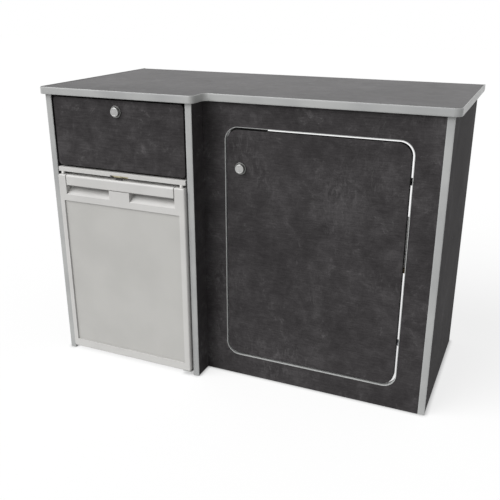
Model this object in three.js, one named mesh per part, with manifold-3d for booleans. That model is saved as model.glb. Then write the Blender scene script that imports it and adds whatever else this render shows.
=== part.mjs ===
// A kitchen unit for a small camper: one worktop over a drawer and a compressor fridge at the left
// and over a set-back cupboard at the right. Boards are edged with knock-in trim, the rear is open.
// Millimetres, +X right, +Y to the rear, +Z up. The origin is on the floor under the middle.
import * as THREE from "three";
import { mergeVertices } from "three/addons/utils/BufferGeometryUtils.js";
import Module from "manifold-3d";

const wasm = await Module();
wasm.setup();

// Fits that all pieces share
const seat = 0.3; // gap between two pieces that touch
const overrun = 5; // how far a cutting solid reaches past what it cuts

// The carcass, measured over the edge trims
const carcass = {
  height: 745,
  depth: 479, // front of the left upright to the rear of the boards
  board: 15,
  cupboardBay: 572.5, // clear width between the middle and the right upright
  setback: 58, // the cupboard front stands this far behind the left front
};

// Knock-in edge trim: a curved face with a lip past each face of the board and a barbed stem
const trim = {
  proud: 1,
  curve: 1, // how far the face falls back at its two edges
  face: 1.2, // thickness over the edge of the board
  lip: 1.4, // front of the face to the end of the lips
  stem: 1.6,
  stemDepth: 8,
  barb: 0.4,
  barbPitch: 2.4,
};
const trimFaceSteps = 8;
const doorCornerSteps = 8;
const trimCurveShare = 0.45;
const barbShares = [0.3, 0.65];

const worktop = {
  board: 16,
  endOverhang: 13,
  frontOverhang: 8,
  rearOverhang: 19,
  leftCorner: 11,
  rightCorner: 18,
  stepPastTrim: 8.5, // the step back stands this far right of the middle upright
  stepCorner: 13,
};

const opening = {
  sideMargin: 60.5, // bay edge to the lined opening
  bottom: 60,
  underTop: 59, // underside of the worktop trim to the lined opening
  corner: 33,
};

const shelf = {
  top: 367,
  behindFront: 12.5, // room for the hinge edge of the door as it swings in
  cleatWidth: 18,
  cleatHeight: 20,
  cleatInset: 12,
};

const rearRail = { height: 80.7 };
const deck = { thickness: 12, front: 40 };

// Drawer
const drawerFront = {
  face: 2, // behind the front of the uprights
  sideGap: 5.1,
  topGap: 5,
  height: 176.5,
  thickness: 15,
  corner: 10,
  edge: 1, // rounding of the front edges
};
const drawerBox = {
  side: 12,
  bottom: 5,
  depth: 410,
  height: 108,
  underFront: 16, // lower edge of the box over the lower edge of the front
  groove: 8, // lower edge of the box to its bottom board
  grooveDepth: 5,
};
const runner = {
  space: 12.7,
  sheet: 1.2,
  height: 45,
  run: 0.4, // running clearance between two members
  memberLength: 400,
  behindFront: 6,
  overBoxBottom: 40, // middle of the runner over the lower edge of the box
  rim: 9.2, // how far a cabinet member reaches out from the board
};
const lockRail = { height: 20.7, depth: 40, behindFront: 1 };

// Push lock: pressing the knob in moves the bolt out
const lock = {
  knob: 22.5,
  knobProud: 9, // popped out, as in daily use
  knobLength: 14,
  knobEdge: 1.2,
  fit: 0.4,
  stem: 8,
  stemEnd: 17, // behind the face of the panel
  rosette: 30,
  rosetteDepth: 2.5,
  barrel: 26,
  caseWidth: 38,
  caseDepth: 14,
  caseTail: 20, // axis to the closed end of the case
  bolt: 16,
  boltThickness: 6,
  boltBehindPanel: 3.3,
  boltTail: 15,
  slotWall: 3.4,
  slotSlack: 0.6,
  stroke: 7,
};
const drawerLock = { belowTop: 28, reach: 9.7, throw: 6 };
const doorLock = { fromEdge: 36.4, belowTop: 95.8, reach: 35, throw: 10 };
const keep = { sheet: 1.5, margin: 9, width: 24, toLining: 1.2 };

// Cupboard door and its two concealed hinges
const cupboardDoor = {
  thickness: 15,
  hingeGap: 3.1,
  lockGap: 2.6,
  bottomGap: 4,
  topGap: 2.7,
  corner: 36,
  edge: 1,
  upperHinge: 92.3, // top of the door to the axis of the upper hinge
  lowerHinge: 105, // bottom of the door to the lower one
};
// Pivots lie [outside the edge of the door, behind its face]
const hinge = {
  innerFrame: [9.6, 24],
  innerDoor: [-25.4, 7],
  outerFrame: [4.6, 22],
  outerDoor: [-31.4, 7],
  cup: 35,
  cupFromEdge: 27.4,
  cupDepth: 12.4,
  cupFloor: 0.9,
  pocket: 27,
  pocketHeight: 18.6,
  flange: 40,
  flangeHeight: 52,
  flangeSheet: 1.5,
  flangeCorner: 8,
  linkSheet: 1.8,
  linkHeight: 8.4,
  eye: 2.7, // radius of a link's eye
  pin: 1.3,
  loosePin: 1, // the fourth pin has play, because the links turn at constant rates
  loosePlay: 0.9,
  cheek: 1.5,
  armFront: 19,
  armDepth: 11,
  armEnd: 46,
  cheekReach: 5,
  plate: 44,
  plateSheet: 2,
  plateHeight: 34,
};
// The neck of a link leaves the door's pin at one angle and swings back to the frame's pin
const innerNeck = { radius: 30, from: 124, to: 45 };
const outerNeck = { radius: 35.5, from: 100, to: 45 };

// Fridge, in a frame of its own: x from its left side, z from its underside
const fridge = {
  width: 380,
  toUpright: 3.75, // left side of the fridge to the left upright's trim
  underDrawer: 5.5, // top of the fridge to the drawer front
  doorFront: -8.5,
  doorDepth: 40,
  railGap: 7,
  railHeight: 12,
  railFront: -2,
  bodyFront: 33.3,
  bodySide: 2.5,
  bodyDepth: 422,
  bodyLift: 2,
  wall: 38,
  skin: 2,
  pinFromSide: 12.15,
  pin: 4, // radius
  pinFit: 0.5,
  pinDepth: 14,
};
const machineRoom = { depth: 128, height: 176 };
const feet = { size: 24, inset: 12 };
const lowerBracket = { width: 26, thickness: 2, front: -6, gap: 0.5 };
const railNotch = { width: 54, height: 4, depth: 18 };
const latchPlate = { thickness: 2, height: 7, depth: 10, inset: 3 };

const fridgeDoor = {
  corner: 6,
  edge: 4,
  frameDepth: 35.5,
  linerFlange: 4,
  handleFromLeft: 23.75,
  handleFromRight: 28.75,
  handleHeight: 29,
  gripDepth: 22.5,
  recessBelowTop: 53,
  recessRise: 17.5, // its floor climbs this far towards the back
  boss: 61, // left standing between the two finger recesses
  insertFromLeft: 14.25,
  insertFromRight: 16.75,
  insertBottom: 24,
  insertBelowTop: 70,
  insertCorner: 2,
  insertDepth: 3.5,
  insert: 1.5,
  notchFrom: 174.25,
  notchTo: 230.25,
  notchHeight: 3.5,
  notchDepth: 3,
};
const doorPan = {
  toSide: 49.25,
  bottom: 44,
  belowTop: 39,
  depth: 20,
  wall: 8,
  corner: 14,
  lip: 3,
  flangeInset: 1,
};
const gasket = { width: 12, thickness: 1.2, fromEdge: 8, corner: 8 };
const rack = { fit: 1, depth: 72, height: 62, wall: 2.5, slope: 8 };
const rackPitchShare = 0.5;

const handle = {
  endGap: 2.5,
  bottomGap: 1,
  plate: 4.5,
  topBack: 12,
  topRound: 6,
  toePlate: 2.5,
  web: 10,
  pinRadius: 2,
  pinLength: 6, // out of each end of the bar
  pinBack: 7, // pin behind the front of the door
  pinDown: 7, // pin below the top of the door
  catchWidth: 20,
  catchHeight: 4,
  catchThickness: 3,
};

const ledge = { reach: 8, height: 5 };
const fridgeShelf = { thickness: 4, fit: 1.5, front: 118, bars: 14, rim: 8, share: 0.5 };
const shelfLevelShares = [0.05, 0.375];
const iceBox = { width: 200, depth: 200, sheet: 2, front: 120, corner: 10 };
const iceBoxHeightShare = 0.34;

const compressor = {
  radius: 56,
  height: 132,
  waist: 2.5,
  lift: 16,
  fromLeft: 140,
  fromRear: 62,
  boxWidth: 34,
  boxHeight: 56,
  boxDepth: 62,
  plateWidth: 250,
  plateDepth: 108,
  plateSheet: 2,
  mount: 8,
  mountSpread: 66,
  stub: 4,
  stubLength: 18,
};
const condenser = {
  tube: 5,
  runs: 8,
  fromSide: 40,
  fromTop: 71,
  overMachineRoom: 29,
  standOff: 9,
  strip: 14,
  stripSheet: 1.5,
  stripShares: [0.2, 0.8],
};

// Derived places
const trimWidth = carcass.board + 2 * trim.proud;
const edgeInset = trim.face + seat;
const grooveInset = trim.face + trim.stemDepth + seat;
const grooveHalf = trim.stem / 2 + trim.barb + seat;
const fridgeBay = fridge.width + 2 * fridge.toUpright;
const midX = trimWidth + fridgeBay;
const cupboardLeft = midX + trimWidth;
const cupboardRight = cupboardLeft + carcass.cupboardBay;
const unitWidth = cupboardRight + trimWidth;
const underTop = carcass.height - worktop.board - 2 * trim.proud;
const boardTop = underTop + trim.proud - seat;
const bayLeft = trim.proud + carcass.board; // inner face of the left board
const bayRight = midX + trim.proud;
const bayMiddle = (bayLeft + bayRight) / 2;
const innerLeft = cupboardLeft - trim.proud; // inner faces round the cupboard
const innerRight = cupboardRight + trim.proud;
const frontFace = carcass.setback;
const frontBack = frontFace + carcass.board;
const openingLeft = cupboardLeft + opening.sideMargin;
const openingRight = cupboardRight - opening.sideMargin;
const openingTop = underTop - opening.underTop;
const drawerBottom = underTop - drawerFront.topGap - drawerFront.height;

// Derived places of the fridge, in its own frame
const fridgeTop = drawerBottom - fridge.underDrawer - deck.thickness;
const railBottom = fridgeTop - fridge.railHeight;
const doorTop = railBottom - fridge.railGap;
const handleBottom = doorTop - fridgeDoor.handleHeight;
const handleSpan = [fridgeDoor.handleFromLeft, fridge.width - fridgeDoor.handleFromRight];
const insertSpan = [fridgeDoor.insertFromLeft, fridge.width - fridgeDoor.insertFromRight];
const insertHeight = [fridgeDoor.insertBottom, doorTop - fridgeDoor.insertBelowTop];
const doorMiddle = (insertSpan[0] + insertSpan[1]) / 2;
const notchSpan = [doorMiddle - railNotch.width / 2, doorMiddle + railNotch.width / 2];
const linerDepth = fridge.wall + seat + fridge.skin;
const insideFloor = machineRoom.height + linerDepth;
const insideHeight = fridgeTop - linerDepth - insideFloor;

const slate = new THREE.MeshStandardMaterial({ color: 0x3d3b3c, roughness: 0.55 });
const slateTop = new THREE.MeshStandardMaterial({ color: 0x5c5a5b, roughness: 0.4 });
const edging = new THREE.MeshStandardMaterial({ color: 0xa8a9a7, roughness: 0.35 });
const paleBoard = new THREE.MeshStandardMaterial({ color: 0xc8c8c6, roughness: 0.6 });
const plywood = new THREE.MeshStandardMaterial({ color: 0xb99a6e, roughness: 0.7 });
const zinc = new THREE.MeshStandardMaterial({ color: 0x8d8f92, roughness: 0.4, metalness: 0.9 });
const satinChrome = new THREE.MeshStandardMaterial({ color: 0xb4b4b2, roughness: 0.3, metalness: 0.9 });
const brass = new THREE.MeshStandardMaterial({ color: 0x8c7f4a, roughness: 0.4, metalness: 0.8 });
const greyPlastic = new THREE.MeshStandardMaterial({ color: 0xcfcecb, roughness: 0.45 });
const insertPlastic = new THREE.MeshStandardMaterial({ color: 0xb8b7b2, roughness: 0.5 });
const whitePlastic = new THREE.MeshStandardMaterial({ color: 0xe6e6e2, roughness: 0.4 });
const blackSteel = new THREE.MeshStandardMaterial({ color: 0x1d1d1e, roughness: 0.45, metalness: 0.3 });
const aluminium = new THREE.MeshStandardMaterial({ color: 0xc4c6c8, roughness: 0.4, metalness: 0.9 });
const sealRubber = new THREE.MeshStandardMaterial({ color: 0xd9d9d6, roughness: 0.8 });

const unit = new THREE.Group();

function add(parent, name, geometry, material) {
  const mesh = new THREE.Mesh(geometry, material);
  mesh.name = name;
  parent.add(mesh);
  return mesh;
}

function group(parent, x, y, z) {
  const made = new THREE.Group();
  made.position.set(x, y, z);
  parent.add(made);
  return made;
}

function block([x0, x1], [y0, y1], [z0, z1]) {
  const geometry = new THREE.BoxGeometry(x1 - x0, y1 - y0, z1 - z0);
  return geometry.translate((x0 + x1) / 2, (y0 + y1) / 2, (z0 + z1) / 2);
}

// A round bar along x, y or z, through the point [a, b] of the other two axes
function rod(axis, radius, [from, to], [a, b], sides = 20) {
  const geometry = new THREE.CylinderGeometry(radius, radius, to - from, sides);
  const middle = (from + to) / 2;
  if (axis === "x") return geometry.rotateZ(-Math.PI / 2).translate(middle, a, b);
  if (axis === "y") return geometry.translate(a, middle, b);
  return geometry.rotateX(Math.PI / 2).translate(a, b, middle);
}

// An outline pushed along an axis; its points are [y, z] along x, [x, z] along y, [x, y] along z
function prism(axis, outline, [from, to], holes = []) {
  const shape = new THREE.Shape(outline.map(([a, b]) => new THREE.Vector2(a, b)));
  shape.holes = holes.map((hole) => new THREE.Path(hole.map(([a, b]) => new THREE.Vector2(a, b))));
  const geometry = new THREE.ExtrudeGeometry(shape, { depth: to - from, bevelEnabled: false });
  const [right, back, up] = [0, 1, 2].map((i) => new THREE.Vector3().setComponent(i, 1));
  const turn = new THREE.Matrix4();
  if (axis === "x") turn.makeBasis(back, up, right).setPosition(from, 0, 0);
  if (axis === "y") turn.makeBasis(right, up, back.clone().negate()).setPosition(0, to, 0);
  if (axis === "z") turn.makeTranslation(0, 0, from);
  return geometry.applyMatrix4(turn);
}

function solidOf(geometry) {
  const plain = geometry.clone();
  plain.deleteAttribute("normal");
  plain.deleteAttribute("uv");
  const merged = mergeVertices(plain);
  const vertProperties = new Float32Array(merged.attributes.position.array);
  const triVerts = new Uint32Array(merged.index.array);
  return new wasm.Manifold(new wasm.Mesh({ numProp: 3, vertProperties, triVerts }));
}

function geometryOf(solid) {
  const { vertProperties, triVerts } = solid.getMesh();
  const geometry = new THREE.BufferGeometry();
  geometry.setAttribute("position", new THREE.BufferAttribute(new Float32Array(vertProperties), 3));
  geometry.setIndex(new THREE.BufferAttribute(new Uint32Array(triVerts), 1));
  geometry.computeVertexNormals();
  return geometry;
}

function join(...geometries) {
  return geometryOf(geometries.map(solidOf).reduce((all, next) => all.add(next)));
}

function cut(geometry, ...tools) {
  return geometryOf(tools.map(solidOf).reduce((rest, tool) => rest.subtract(tool), solidOf(geometry)));
}

// A walk through [x, y, radius] corners, moved to its left by an inset, with an exact arc at each
// corner. A closed walk turns at every corner, an open one keeps its two end points.
function roundedPath(corners, inset, closed = true, steps = 6) {
  const count = corners.length;
  const points = [];
  const normals = corners.map(([x, y], i) => {
    const [nextX, nextY] = corners[(i + 1) % count];
    const length = Math.hypot(nextX - x, nextY - y);
    return [(y - nextY) / length, (nextX - x) / length];
  });
  corners.forEach(([x, y, radius], i) => {
    const before = normals[(i + count - 1) % count];
    const after = normals[i];
    if (!closed && (i === 0 || i === count - 1)) {
      const [nx, ny] = i === 0 ? after : before;
      points.push([x + nx * inset, y + ny * inset]);
      return;
    }
    const cross = before[0] * after[1] - before[1] * after[0];
    const dot = before[0] * after[0] + before[1] * after[1];
    const sign = Math.sign(cross);
    const shareX = (before[0] + after[0]) / (1 + dot);
    const shareY = (before[1] + after[1]) / (1 + dot);
    if (radius === 0) {
      points.push([x + shareX * inset, y + shareY * inset]);
      return;
    }
    const reach = sign * (radius - sign * inset);
    for (let step = 0; step <= steps; step++) {
      const turn = (Math.atan2(cross, dot) * step) / steps;
      const nx = before[0] * Math.cos(turn) - before[1] * Math.sin(turn);
      const ny = before[0] * Math.sin(turn) + before[1] * Math.cos(turn);
      points.push([x + sign * radius * shareX - nx * reach, y + sign * radius * shareY - ny * reach]);
    }
  });
  return points;
}

function rectangle([x0, x1], [y0, y1], radius) {
  return [[x0, y0], [x1, y0], [x1, y1], [x0, y1]].map(([x, y]) => [x, y, radius]);
}

// A skin over rows of equally many points, each row a closed loop; the first and last rows are
// capped, or joined to each other when the rows go all the way round
function loft(rows, wrapped = false) {
  const count = rows[0].length;
  const points = rows.flat().map(([x, y, z]) => new THREE.Vector3(x, y, z));
  const index = [];
  const spans = wrapped ? rows.length : rows.length - 1;
  for (let row = 0; row < spans; row++) {
    const low = row * count;
    const high = ((row + 1) % rows.length) * count;
    for (let i = 0; i < count; i++) {
      const next = (i + 1) % count;
      index.push(low + i, low + next, high + next);
      index.push(low + i, high + next, high + i);
    }
  }
  if (!wrapped) {
    const last = points.length - count;
    for (const [a, b, c] of capOf(points.slice(0, count))) index.push(a, c, b);
    for (const [a, b, c] of capOf(points.slice(last))) index.push(last + a, last + b, last + c);
  }
  if (volumeOf(points, index) < 0) index.reverse();
  const geometry = new THREE.BufferGeometry().setFromPoints(points).setIndex(index);
  geometry.computeVertexNormals();
  return geometry;
}

// Triangles over a flat loop of points, turned the way the loop goes
function capOf(loop) {
  const normal = new THREE.Vector3();
  loop.forEach((point, i) => normal.add(point.clone().cross(loop[(i + 1) % loop.length])));
  const turn = new THREE.Quaternion().setFromUnitVectors(normal.normalize(), new THREE.Vector3(0, 0, 1));
  const flat = loop.map((point) => point.clone().applyQuaternion(turn));
  const contour = flat.map(({ x, y }) => new THREE.Vector2(x, y));
  return THREE.ShapeUtils.triangulateShape(contour, []).map(([a, b, c]) => {
    const area = THREE.ShapeUtils.area([contour[a], contour[b], contour[c]]);
    return area > 0 ? [a, b, c] : [a, c, b];
  });
}

function volumeOf(points, index) {
  let sixfold = 0;
  for (let i = 0; i < index.length; i += 3) {
    const [a, b, c] = [points[index[i]], points[index[i + 1]], points[index[i + 2]]];
    sixfold += a.dot(b.clone().cross(c));
  }
  return sixfold / 6;
}

// A panel facing -Y with rounded corners and rounded front edges
function facePanel(corners, [front, back], edge, edgeSteps = 2, cornerSteps = 6) {
  const row = (inset, y) => roundedPath(corners, inset, true, cornerSteps).map(([x, z]) => [x, y, z]);
  const rows = [];
  for (let step = 0; step <= edgeSteps; step++) {
    const turn = (Math.PI / 2) * (step / edgeSteps);
    rows.push(row(edge * (1 - Math.sin(turn)), front + edge * (1 - Math.cos(turn))));
  }
  rows.push(row(0, back));
  return loft(rows);
}

// Section of the edge trim as [across, depth]
function trimSection(width) {
  const middle = width / 2;
  const lip = trim.proud - seat;
  const stem = trim.stem / 2;
  const end = trim.face + trim.stemDepth;
  const section = [];
  for (let step = 0; step <= trimFaceSteps; step++) {
    const turn = (Math.PI * step) / trimFaceSteps;
    const side = Math.cos(turn);
    const across = middle - middle * Math.sign(side) * Math.abs(side) ** trimCurveShare;
    section.push([across, trim.curve * (1 - Math.sin(turn) ** trimCurveShare)]);
  }
  section.push([width, trim.lip], [width - lip, trim.lip], [width - lip, trim.face]);
  const flank = [[stem, trim.face]];
  for (const share of barbShares) {
    const depth = trim.face + trim.stemDepth * share;
    flank.push([stem, depth - trim.barb / 2], [stem + trim.barb, depth], [stem, depth + trim.barbPitch]);
  }
  flank.push([stem / 2, end]);
  section.push(...flank.map(([out, depth]) => [middle + out, depth]));
  section.push(...flank.reverse().map(([out, depth]) => [middle - out, depth]));
  section.push([lip, trim.face], [lip, trim.lip], [0, trim.lip]);
  return section;
}

function worktopOutline() {
  const left = -worktop.endOverhang;
  const right = unitWidth + worktop.endOverhang;
  const rear = carcass.depth + worktop.rearOverhang;
  const front = -worktop.frontOverhang;
  const stepFront = carcass.setback - worktop.frontOverhang;
  const stepX = cupboardLeft + worktop.stepPastTrim;
  return [
    [left, rear, 0],
    [left, front, worktop.leftCorner],
    [stepX, front, worktop.stepCorner],
    [stepX, stepFront, worktop.stepCorner],
    [right, stepFront, worktop.rightCorner],
    [right, rear, 0],
  ];
}

function buildWorktop() {
  const outline = worktopOutline();
  const bottom = underTop + trim.proud;
  const middle = bottom + worktop.board / 2;
  const row = (inset, z) => roundedPath(outline, inset, false).map(([x, y]) => [x, y, z]);
  const board = loft([
    row(edgeInset, bottom),
    row(edgeInset, middle - grooveHalf),
    row(grooveInset, middle - grooveHalf),
    row(grooveInset, middle + grooveHalf),
    row(edgeInset, middle + grooveHalf),
    row(edgeInset, bottom + worktop.board),
  ]);
  add(unit, "worktop_panel", board, slateTop);
  const runs = trimSection(worktop.board + 2 * trim.proud).map(([across, depth]) =>
    row(depth, underTop + across),
  );
  const stations = runs[0].map((_, i) => runs.map((run) => run[i]));
  add(unit, "worktop_edge_trim", loft(stations), edging);
}

// An upright board with its front trim
function buildUpright(name, x, front, notches = []) {
  const inner = x + trim.proud;
  const middle = x + trimWidth / 2;
  const board = block([inner, inner + carcass.board], [front + edgeInset, carcass.depth], [0, boardTop]);
  const groove = block(
    [middle - grooveHalf, middle + grooveHalf],
    [front, front + grooveInset],
    [-overrun, boardTop + overrun],
  );
  add(unit, name + "_panel", cut(board, groove, ...notches), slate);
  const section = trimSection(trimWidth).map(([across, depth]) => [x + across, front + depth]);
  add(unit, name + "_upright_trim", prism("z", section, [0, boardTop]), edging);
}

function buildCarcass() {
  const railBottom = boardTop - rearRail.height;
  const railFront = carcass.depth - carcass.board;
  const railNotchTool = block(
    [midX - overrun, cupboardLeft + overrun],
    [railFront - seat, carcass.depth + overrun],
    [railBottom - seat, boardTop + overrun],
  );
  buildUpright("left_end", 0, 0);
  buildUpright("mid", midX, 0, [railNotchTool]);
  buildUpright("right_end", cupboardRight, carcass.setback);
  const rail = block(
    [bayLeft + seat, innerRight - seat],
    [railFront, carcass.depth],
    [railBottom, boardTop],
  );
  add(unit, "rear_top_rail", rail, paleBoard);
  const deckBoard = block(
    [bayLeft + seat, bayRight - seat],
    [deck.front, carcass.depth],
    [0, deck.thickness],
  );
  add(unit, "fridge_deck", deckBoard, plywood);
  buildCupboardFront();
  buildShelf();
}

// The set-back front board with its round-cornered opening, and the trim that lines the opening
function buildCupboardFront() {
  const corners = rectangle([openingLeft, openingRight], [opening.bottom, openingTop], opening.corner);
  const middle = frontFace + carcass.board / 2;
  const row = (inset, y) =>
    roundedPath(corners, inset, true, doorCornerSteps).map(([x, z]) => [x, y, z]);
  const hole = loft([
    row(-edgeInset, frontFace - overrun),
    row(-edgeInset, middle - grooveHalf),
    row(-grooveInset, middle - grooveHalf),
    row(-grooveInset, middle + grooveHalf),
    row(-edgeInset, middle + grooveHalf),
    row(-edgeInset, frontBack + overrun),
  ]);
  const board = block([innerLeft + seat, cupboardRight - seat], [frontFace, frontBack], [0, boardTop]);
  add(unit, "front_panel", cut(board, hole), slate);
  const runs = trimSection(trimWidth).map(([across, depth]) =>
    row(-depth, frontFace - trim.proud + across),
  );
  const stations = runs[0].map((_, i) => runs.map((run) => run[i]));
  add(unit, "door_opening_trim", loft(stations, true), edging);
}

function buildShelf() {
  const bottom = shelf.top - carcass.board;
  const left = innerLeft + seat;
  const right = innerRight - seat;
  const front = frontBack + shelf.behindFront;
  add(unit, "shelf", block([left, right], [front, carcass.depth], [bottom, shelf.top]), paleBoard);
  const places = { left: [left, left + shelf.cleatWidth], right: [right - shelf.cleatWidth, right] };
  for (const [side, across] of Object.entries(places)) {
    const along = [front + shelf.cleatInset, carcass.depth - shelf.cleatInset];
    const height = [bottom - seat - shelf.cleatHeight, bottom - seat];
    add(unit, "shelf_cleat_" + side, block(across, along, height), paleBoard);
  }
}

// A push lock in a frame of its own: y into the panel from its face, the bolt moves along +z
function buildLock(parent, prefix, { reach, throw: travel }, thickness) {
  const caseFront = thickness + seat;
  const caseBack = caseFront + lock.caseDepth;
  const boltFront = thickness + lock.boltBehindPanel;
  const boltDepth = [boltFront, boltFront + lock.boltThickness];
  const half = lock.bolt / 2;
  const bore = lock.knob / 2 + lock.fit;
  const stemBore = lock.stem / 2 + lock.slotSlack;
  const tail = lock.boltTail + travel - drawerLock.throw;
  const tip = reach + seat;
  const body = join(
    rod("y", lock.rosette / 2, [-lock.rosetteDepth, -seat], [0, 0], 28),
    rod("y", lock.barrel / 2, [-lock.rosetteDepth, caseFront + seat], [0, 0], 28),
    block([-lock.caseWidth / 2, lock.caseWidth / 2], [caseFront, caseBack], [-tail - overrun, reach]),
  );
  const fit = (from, to) => [from - seat, to + seat];
  const housing = cut(
    body,
    rod("y", bore, [-lock.rosetteDepth - overrun, caseFront], [0, 0], 28),
    rod("y", stemBore, [0, lock.stemEnd + lock.stroke + lock.fit], [0, 0]),
    block(fit(-half, half), fit(...boltDepth), fit(-tail, reach + overrun)),
  );
  add(parent, prefix + "_lock_housing", housing, satinChrome);
  const slot = stemBore;
  const bolt = cut(
    block([-half, half], boltDepth, [-tail, tip]),
    block([-slot, slot], fit(...boltDepth), [-slot - travel, slot]),
  );
  add(parent, prefix + "_lock_bolt", bolt, zinc);
  const face = -lock.knobProud;
  const radius = lock.knob / 2;
  const cap = new THREE.LatheGeometry(
    [
      [0, face],
      [radius - lock.knobEdge, face],
      [radius, face + lock.knobEdge],
      [radius, face + lock.knobLength],
      [lock.stem / 2, face + lock.knobLength],
      [lock.stem / 2, lock.stemEnd],
      [0, lock.stemEnd],
    ].map(([r, y]) => new THREE.Vector2(r, y)),
    28,
  );
  add(parent, prefix + "_lock_button", cap, satinChrome);
}

function lockHole(x, [front, back], z) {
  const radius = lock.barrel / 2 + seat;
  return rod("y", radius, [front - overrun, back + overrun], [x, z], 28);
}

function runnerSection(out, half, rim, side) {
  const sheet = runner.sheet;
  const points = [
    [out, -half],
    [rim, -half],
    [rim, -half + sheet],
    [out + sheet, -half + sheet],
    [out + sheet, half - sheet],
    [rim, half - sheet],
    [rim, half],
    [out, half],
  ];
  return side > 0 ? points : points.map(([x, z]) => [-x, z]).reverse();
}

function buildDrawer() {
  const drawer = group(unit, bayMiddle, drawerFront.face, drawerBottom);
  const halfFront = fridgeBay / 2 - drawerFront.sideGap;
  const front = [0, drawerFront.thickness];
  const lockZ = drawerFront.height - drawerLock.belowTop;
  const corners = rectangle([-halfFront, halfFront], [0, drawerFront.height], drawerFront.corner);
  const face = facePanel(corners, front, drawerFront.edge);
  add(drawer, "drawer_front", cut(face, lockHole(0, front, lockZ)), slate);
  buildLock(group(drawer, 0, 0, lockZ), "drawer", drawerLock, drawerFront.thickness);

  const half = (bayRight - bayLeft) / 2 - runner.space;
  const inner = half - drawerBox.side;
  const boxFront = drawerFront.thickness + seat;
  const boxBack = boxFront + drawerBox.depth;
  const boxHeight = [drawerBox.underFront, drawerBox.underFront + drawerBox.height];
  const floor = boxHeight[0] + drawerBox.groove;
  const floorGroove = block(
    [-inner - drawerBox.grooveDepth - seat, inner + drawerBox.grooveDepth + seat],
    [boxFront - overrun, boxBack + overrun],
    [floor - seat, floor + drawerBox.bottom + seat],
  );
  for (const [name, side] of [["left", -1], ["right", 1]]) {
    const across = side > 0 ? [inner, half] : [-half, -inner];
    const board = cut(block(across, [boxFront, boxBack], boxHeight), floorGroove);
    add(drawer, "drawer_side_" + name, board, plywood);
  }
  const backBoard = block(
    [-inner + seat, inner - seat],
    [boxBack - drawerBox.side, boxBack],
    [floor + drawerBox.bottom + seat, boxHeight[1]],
  );
  add(drawer, "drawer_back", backBoard, plywood);
  const bottomBoard = block(
    [-inner - drawerBox.grooveDepth, inner + drawerBox.grooveDepth],
    [boxFront, boxBack],
    [floor, floor + drawerBox.bottom],
  );
  add(drawer, "drawer_bottom", bottomBoard, plywood);
  buildRunners(drawer, half, boxHeight[0] + runner.overBoxBottom);
}

// Three-member ball runners: members nest in each other and reach out from the cabinet board
function buildRunners(drawer, half, z) {
  const along = [drawerFront.thickness + runner.behindFront, 0];
  along[1] = along[0] + runner.memberLength;
  const step = runner.sheet + runner.run;
  const outer = runner.height / 2;
  for (const [name, side] of [["left", -1], ["right", 1]]) {
    const place = group(drawer, side * (half + runner.space - seat), 0, z);
    const member = (out, height, rim) =>
      prism("y", runnerSection(out, height, rim, -side), along);
    add(place, "runner_cabinet_" + name, member(0, outer, runner.rim), zinc);
    add(place, "runner_middle_" + name, member(step, outer - step, runner.rim + runner.run), zinc);
    const innermost = runner.space - 2 * seat - runner.sheet;
    const drawerMember = prism(
      "y",
      runnerSection(-innermost - runner.sheet, outer - 2 * step, -2 * step, side),
      along,
    );
    add(place, "runner_drawer_" + name, drawerMember, zinc);
  }
}

// The rail over the drawer holds the keep that the drawer's bolt rises into
function buildLockRail() {
  const front = drawerFront.face + drawerFront.thickness + lockRail.behindFront;
  const bottom = boardTop - lockRail.height;
  const boltMiddle =
    drawerFront.face + drawerFront.thickness + lock.boltBehindPanel + lock.boltThickness / 2;
  const halfBolt = lock.bolt / 2 + lock.slotSlack;
  const halfDepth = lock.boltThickness / 2 + lock.slotSlack;
  const mortise = block(
    [bayMiddle - halfBolt, bayMiddle + halfBolt],
    [boltMiddle - halfDepth, boltMiddle + halfDepth],
    [bottom - overrun, bottom + drawerLock.throw],
  );
  const board = block(
    [bayLeft + seat, bayRight - seat],
    [front, front + lockRail.depth],
    [bottom, boardTop],
  );
  add(unit, "drawer_lock_rail", cut(board, mortise), paleBoard);
  const plate = block(
    [bayMiddle - halfBolt - keep.margin, bayMiddle + halfBolt + keep.margin],
    [front, front + keep.width],
    [bottom - seat - keep.sheet, bottom - seat],
  );
  add(unit, "drawer_lock_keep", cut(plate, mortise), zinc);
}

function buildCupboardDoor() {
  const left = openingLeft + cupboardDoor.lockGap;
  const right = openingRight - cupboardDoor.hingeGap;
  const bottom = opening.bottom + cupboardDoor.bottomGap;
  const top = openingTop - cupboardDoor.topGap;
  const door = group(unit, right, frontFace, bottom);
  const width = right - left;
  const height = top - bottom;
  const depth = [0, cupboardDoor.thickness];
  const lockX = doorLock.fromEdge - width;
  const lockZ = height - doorLock.belowTop;
  const levels = { upper: height - cupboardDoor.upperHinge, lower: cupboardDoor.lowerHinge };
  const corners = rectangle([-width, 0], [0, height], cupboardDoor.corner);
  const bores = Object.values(levels).map((z) =>
    rod(
      "y",
      hinge.cup / 2,
      [cupboardDoor.thickness - hinge.cupDepth, cupboardDoor.thickness + overrun],
      [-hinge.cupFromEdge, z],
      28,
    ),
  );
  const panel = cut(
    facePanel(corners, depth, cupboardDoor.edge, 2, doorCornerSteps),
    lockHole(lockX, depth, lockZ),
    ...bores,
  );
  add(door, "cupboard_door_panel", panel, slate);
  const lockPlace = group(door, lockX, 0, lockZ);
  lockPlace.rotation.y = -Math.PI / 2;
  buildLock(lockPlace, "door", doorLock, cupboardDoor.thickness);
  const keepRight = openingLeft - edgeInset - keep.toLining;
  const keepHalf = lock.bolt / 2 + keep.margin;
  const keepPlate = block(
    [keepRight - keep.width, keepRight],
    [frontBack + seat, frontBack + seat + keep.sheet],
    [bottom + lockZ - keepHalf, bottom + lockZ + keepHalf],
  );
  add(unit, "door_lock_keep", keepPlate, zinc);
  for (const [name, z] of Object.entries(levels)) buildHinge(group(door, 0, 0, z), name);
}

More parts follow.
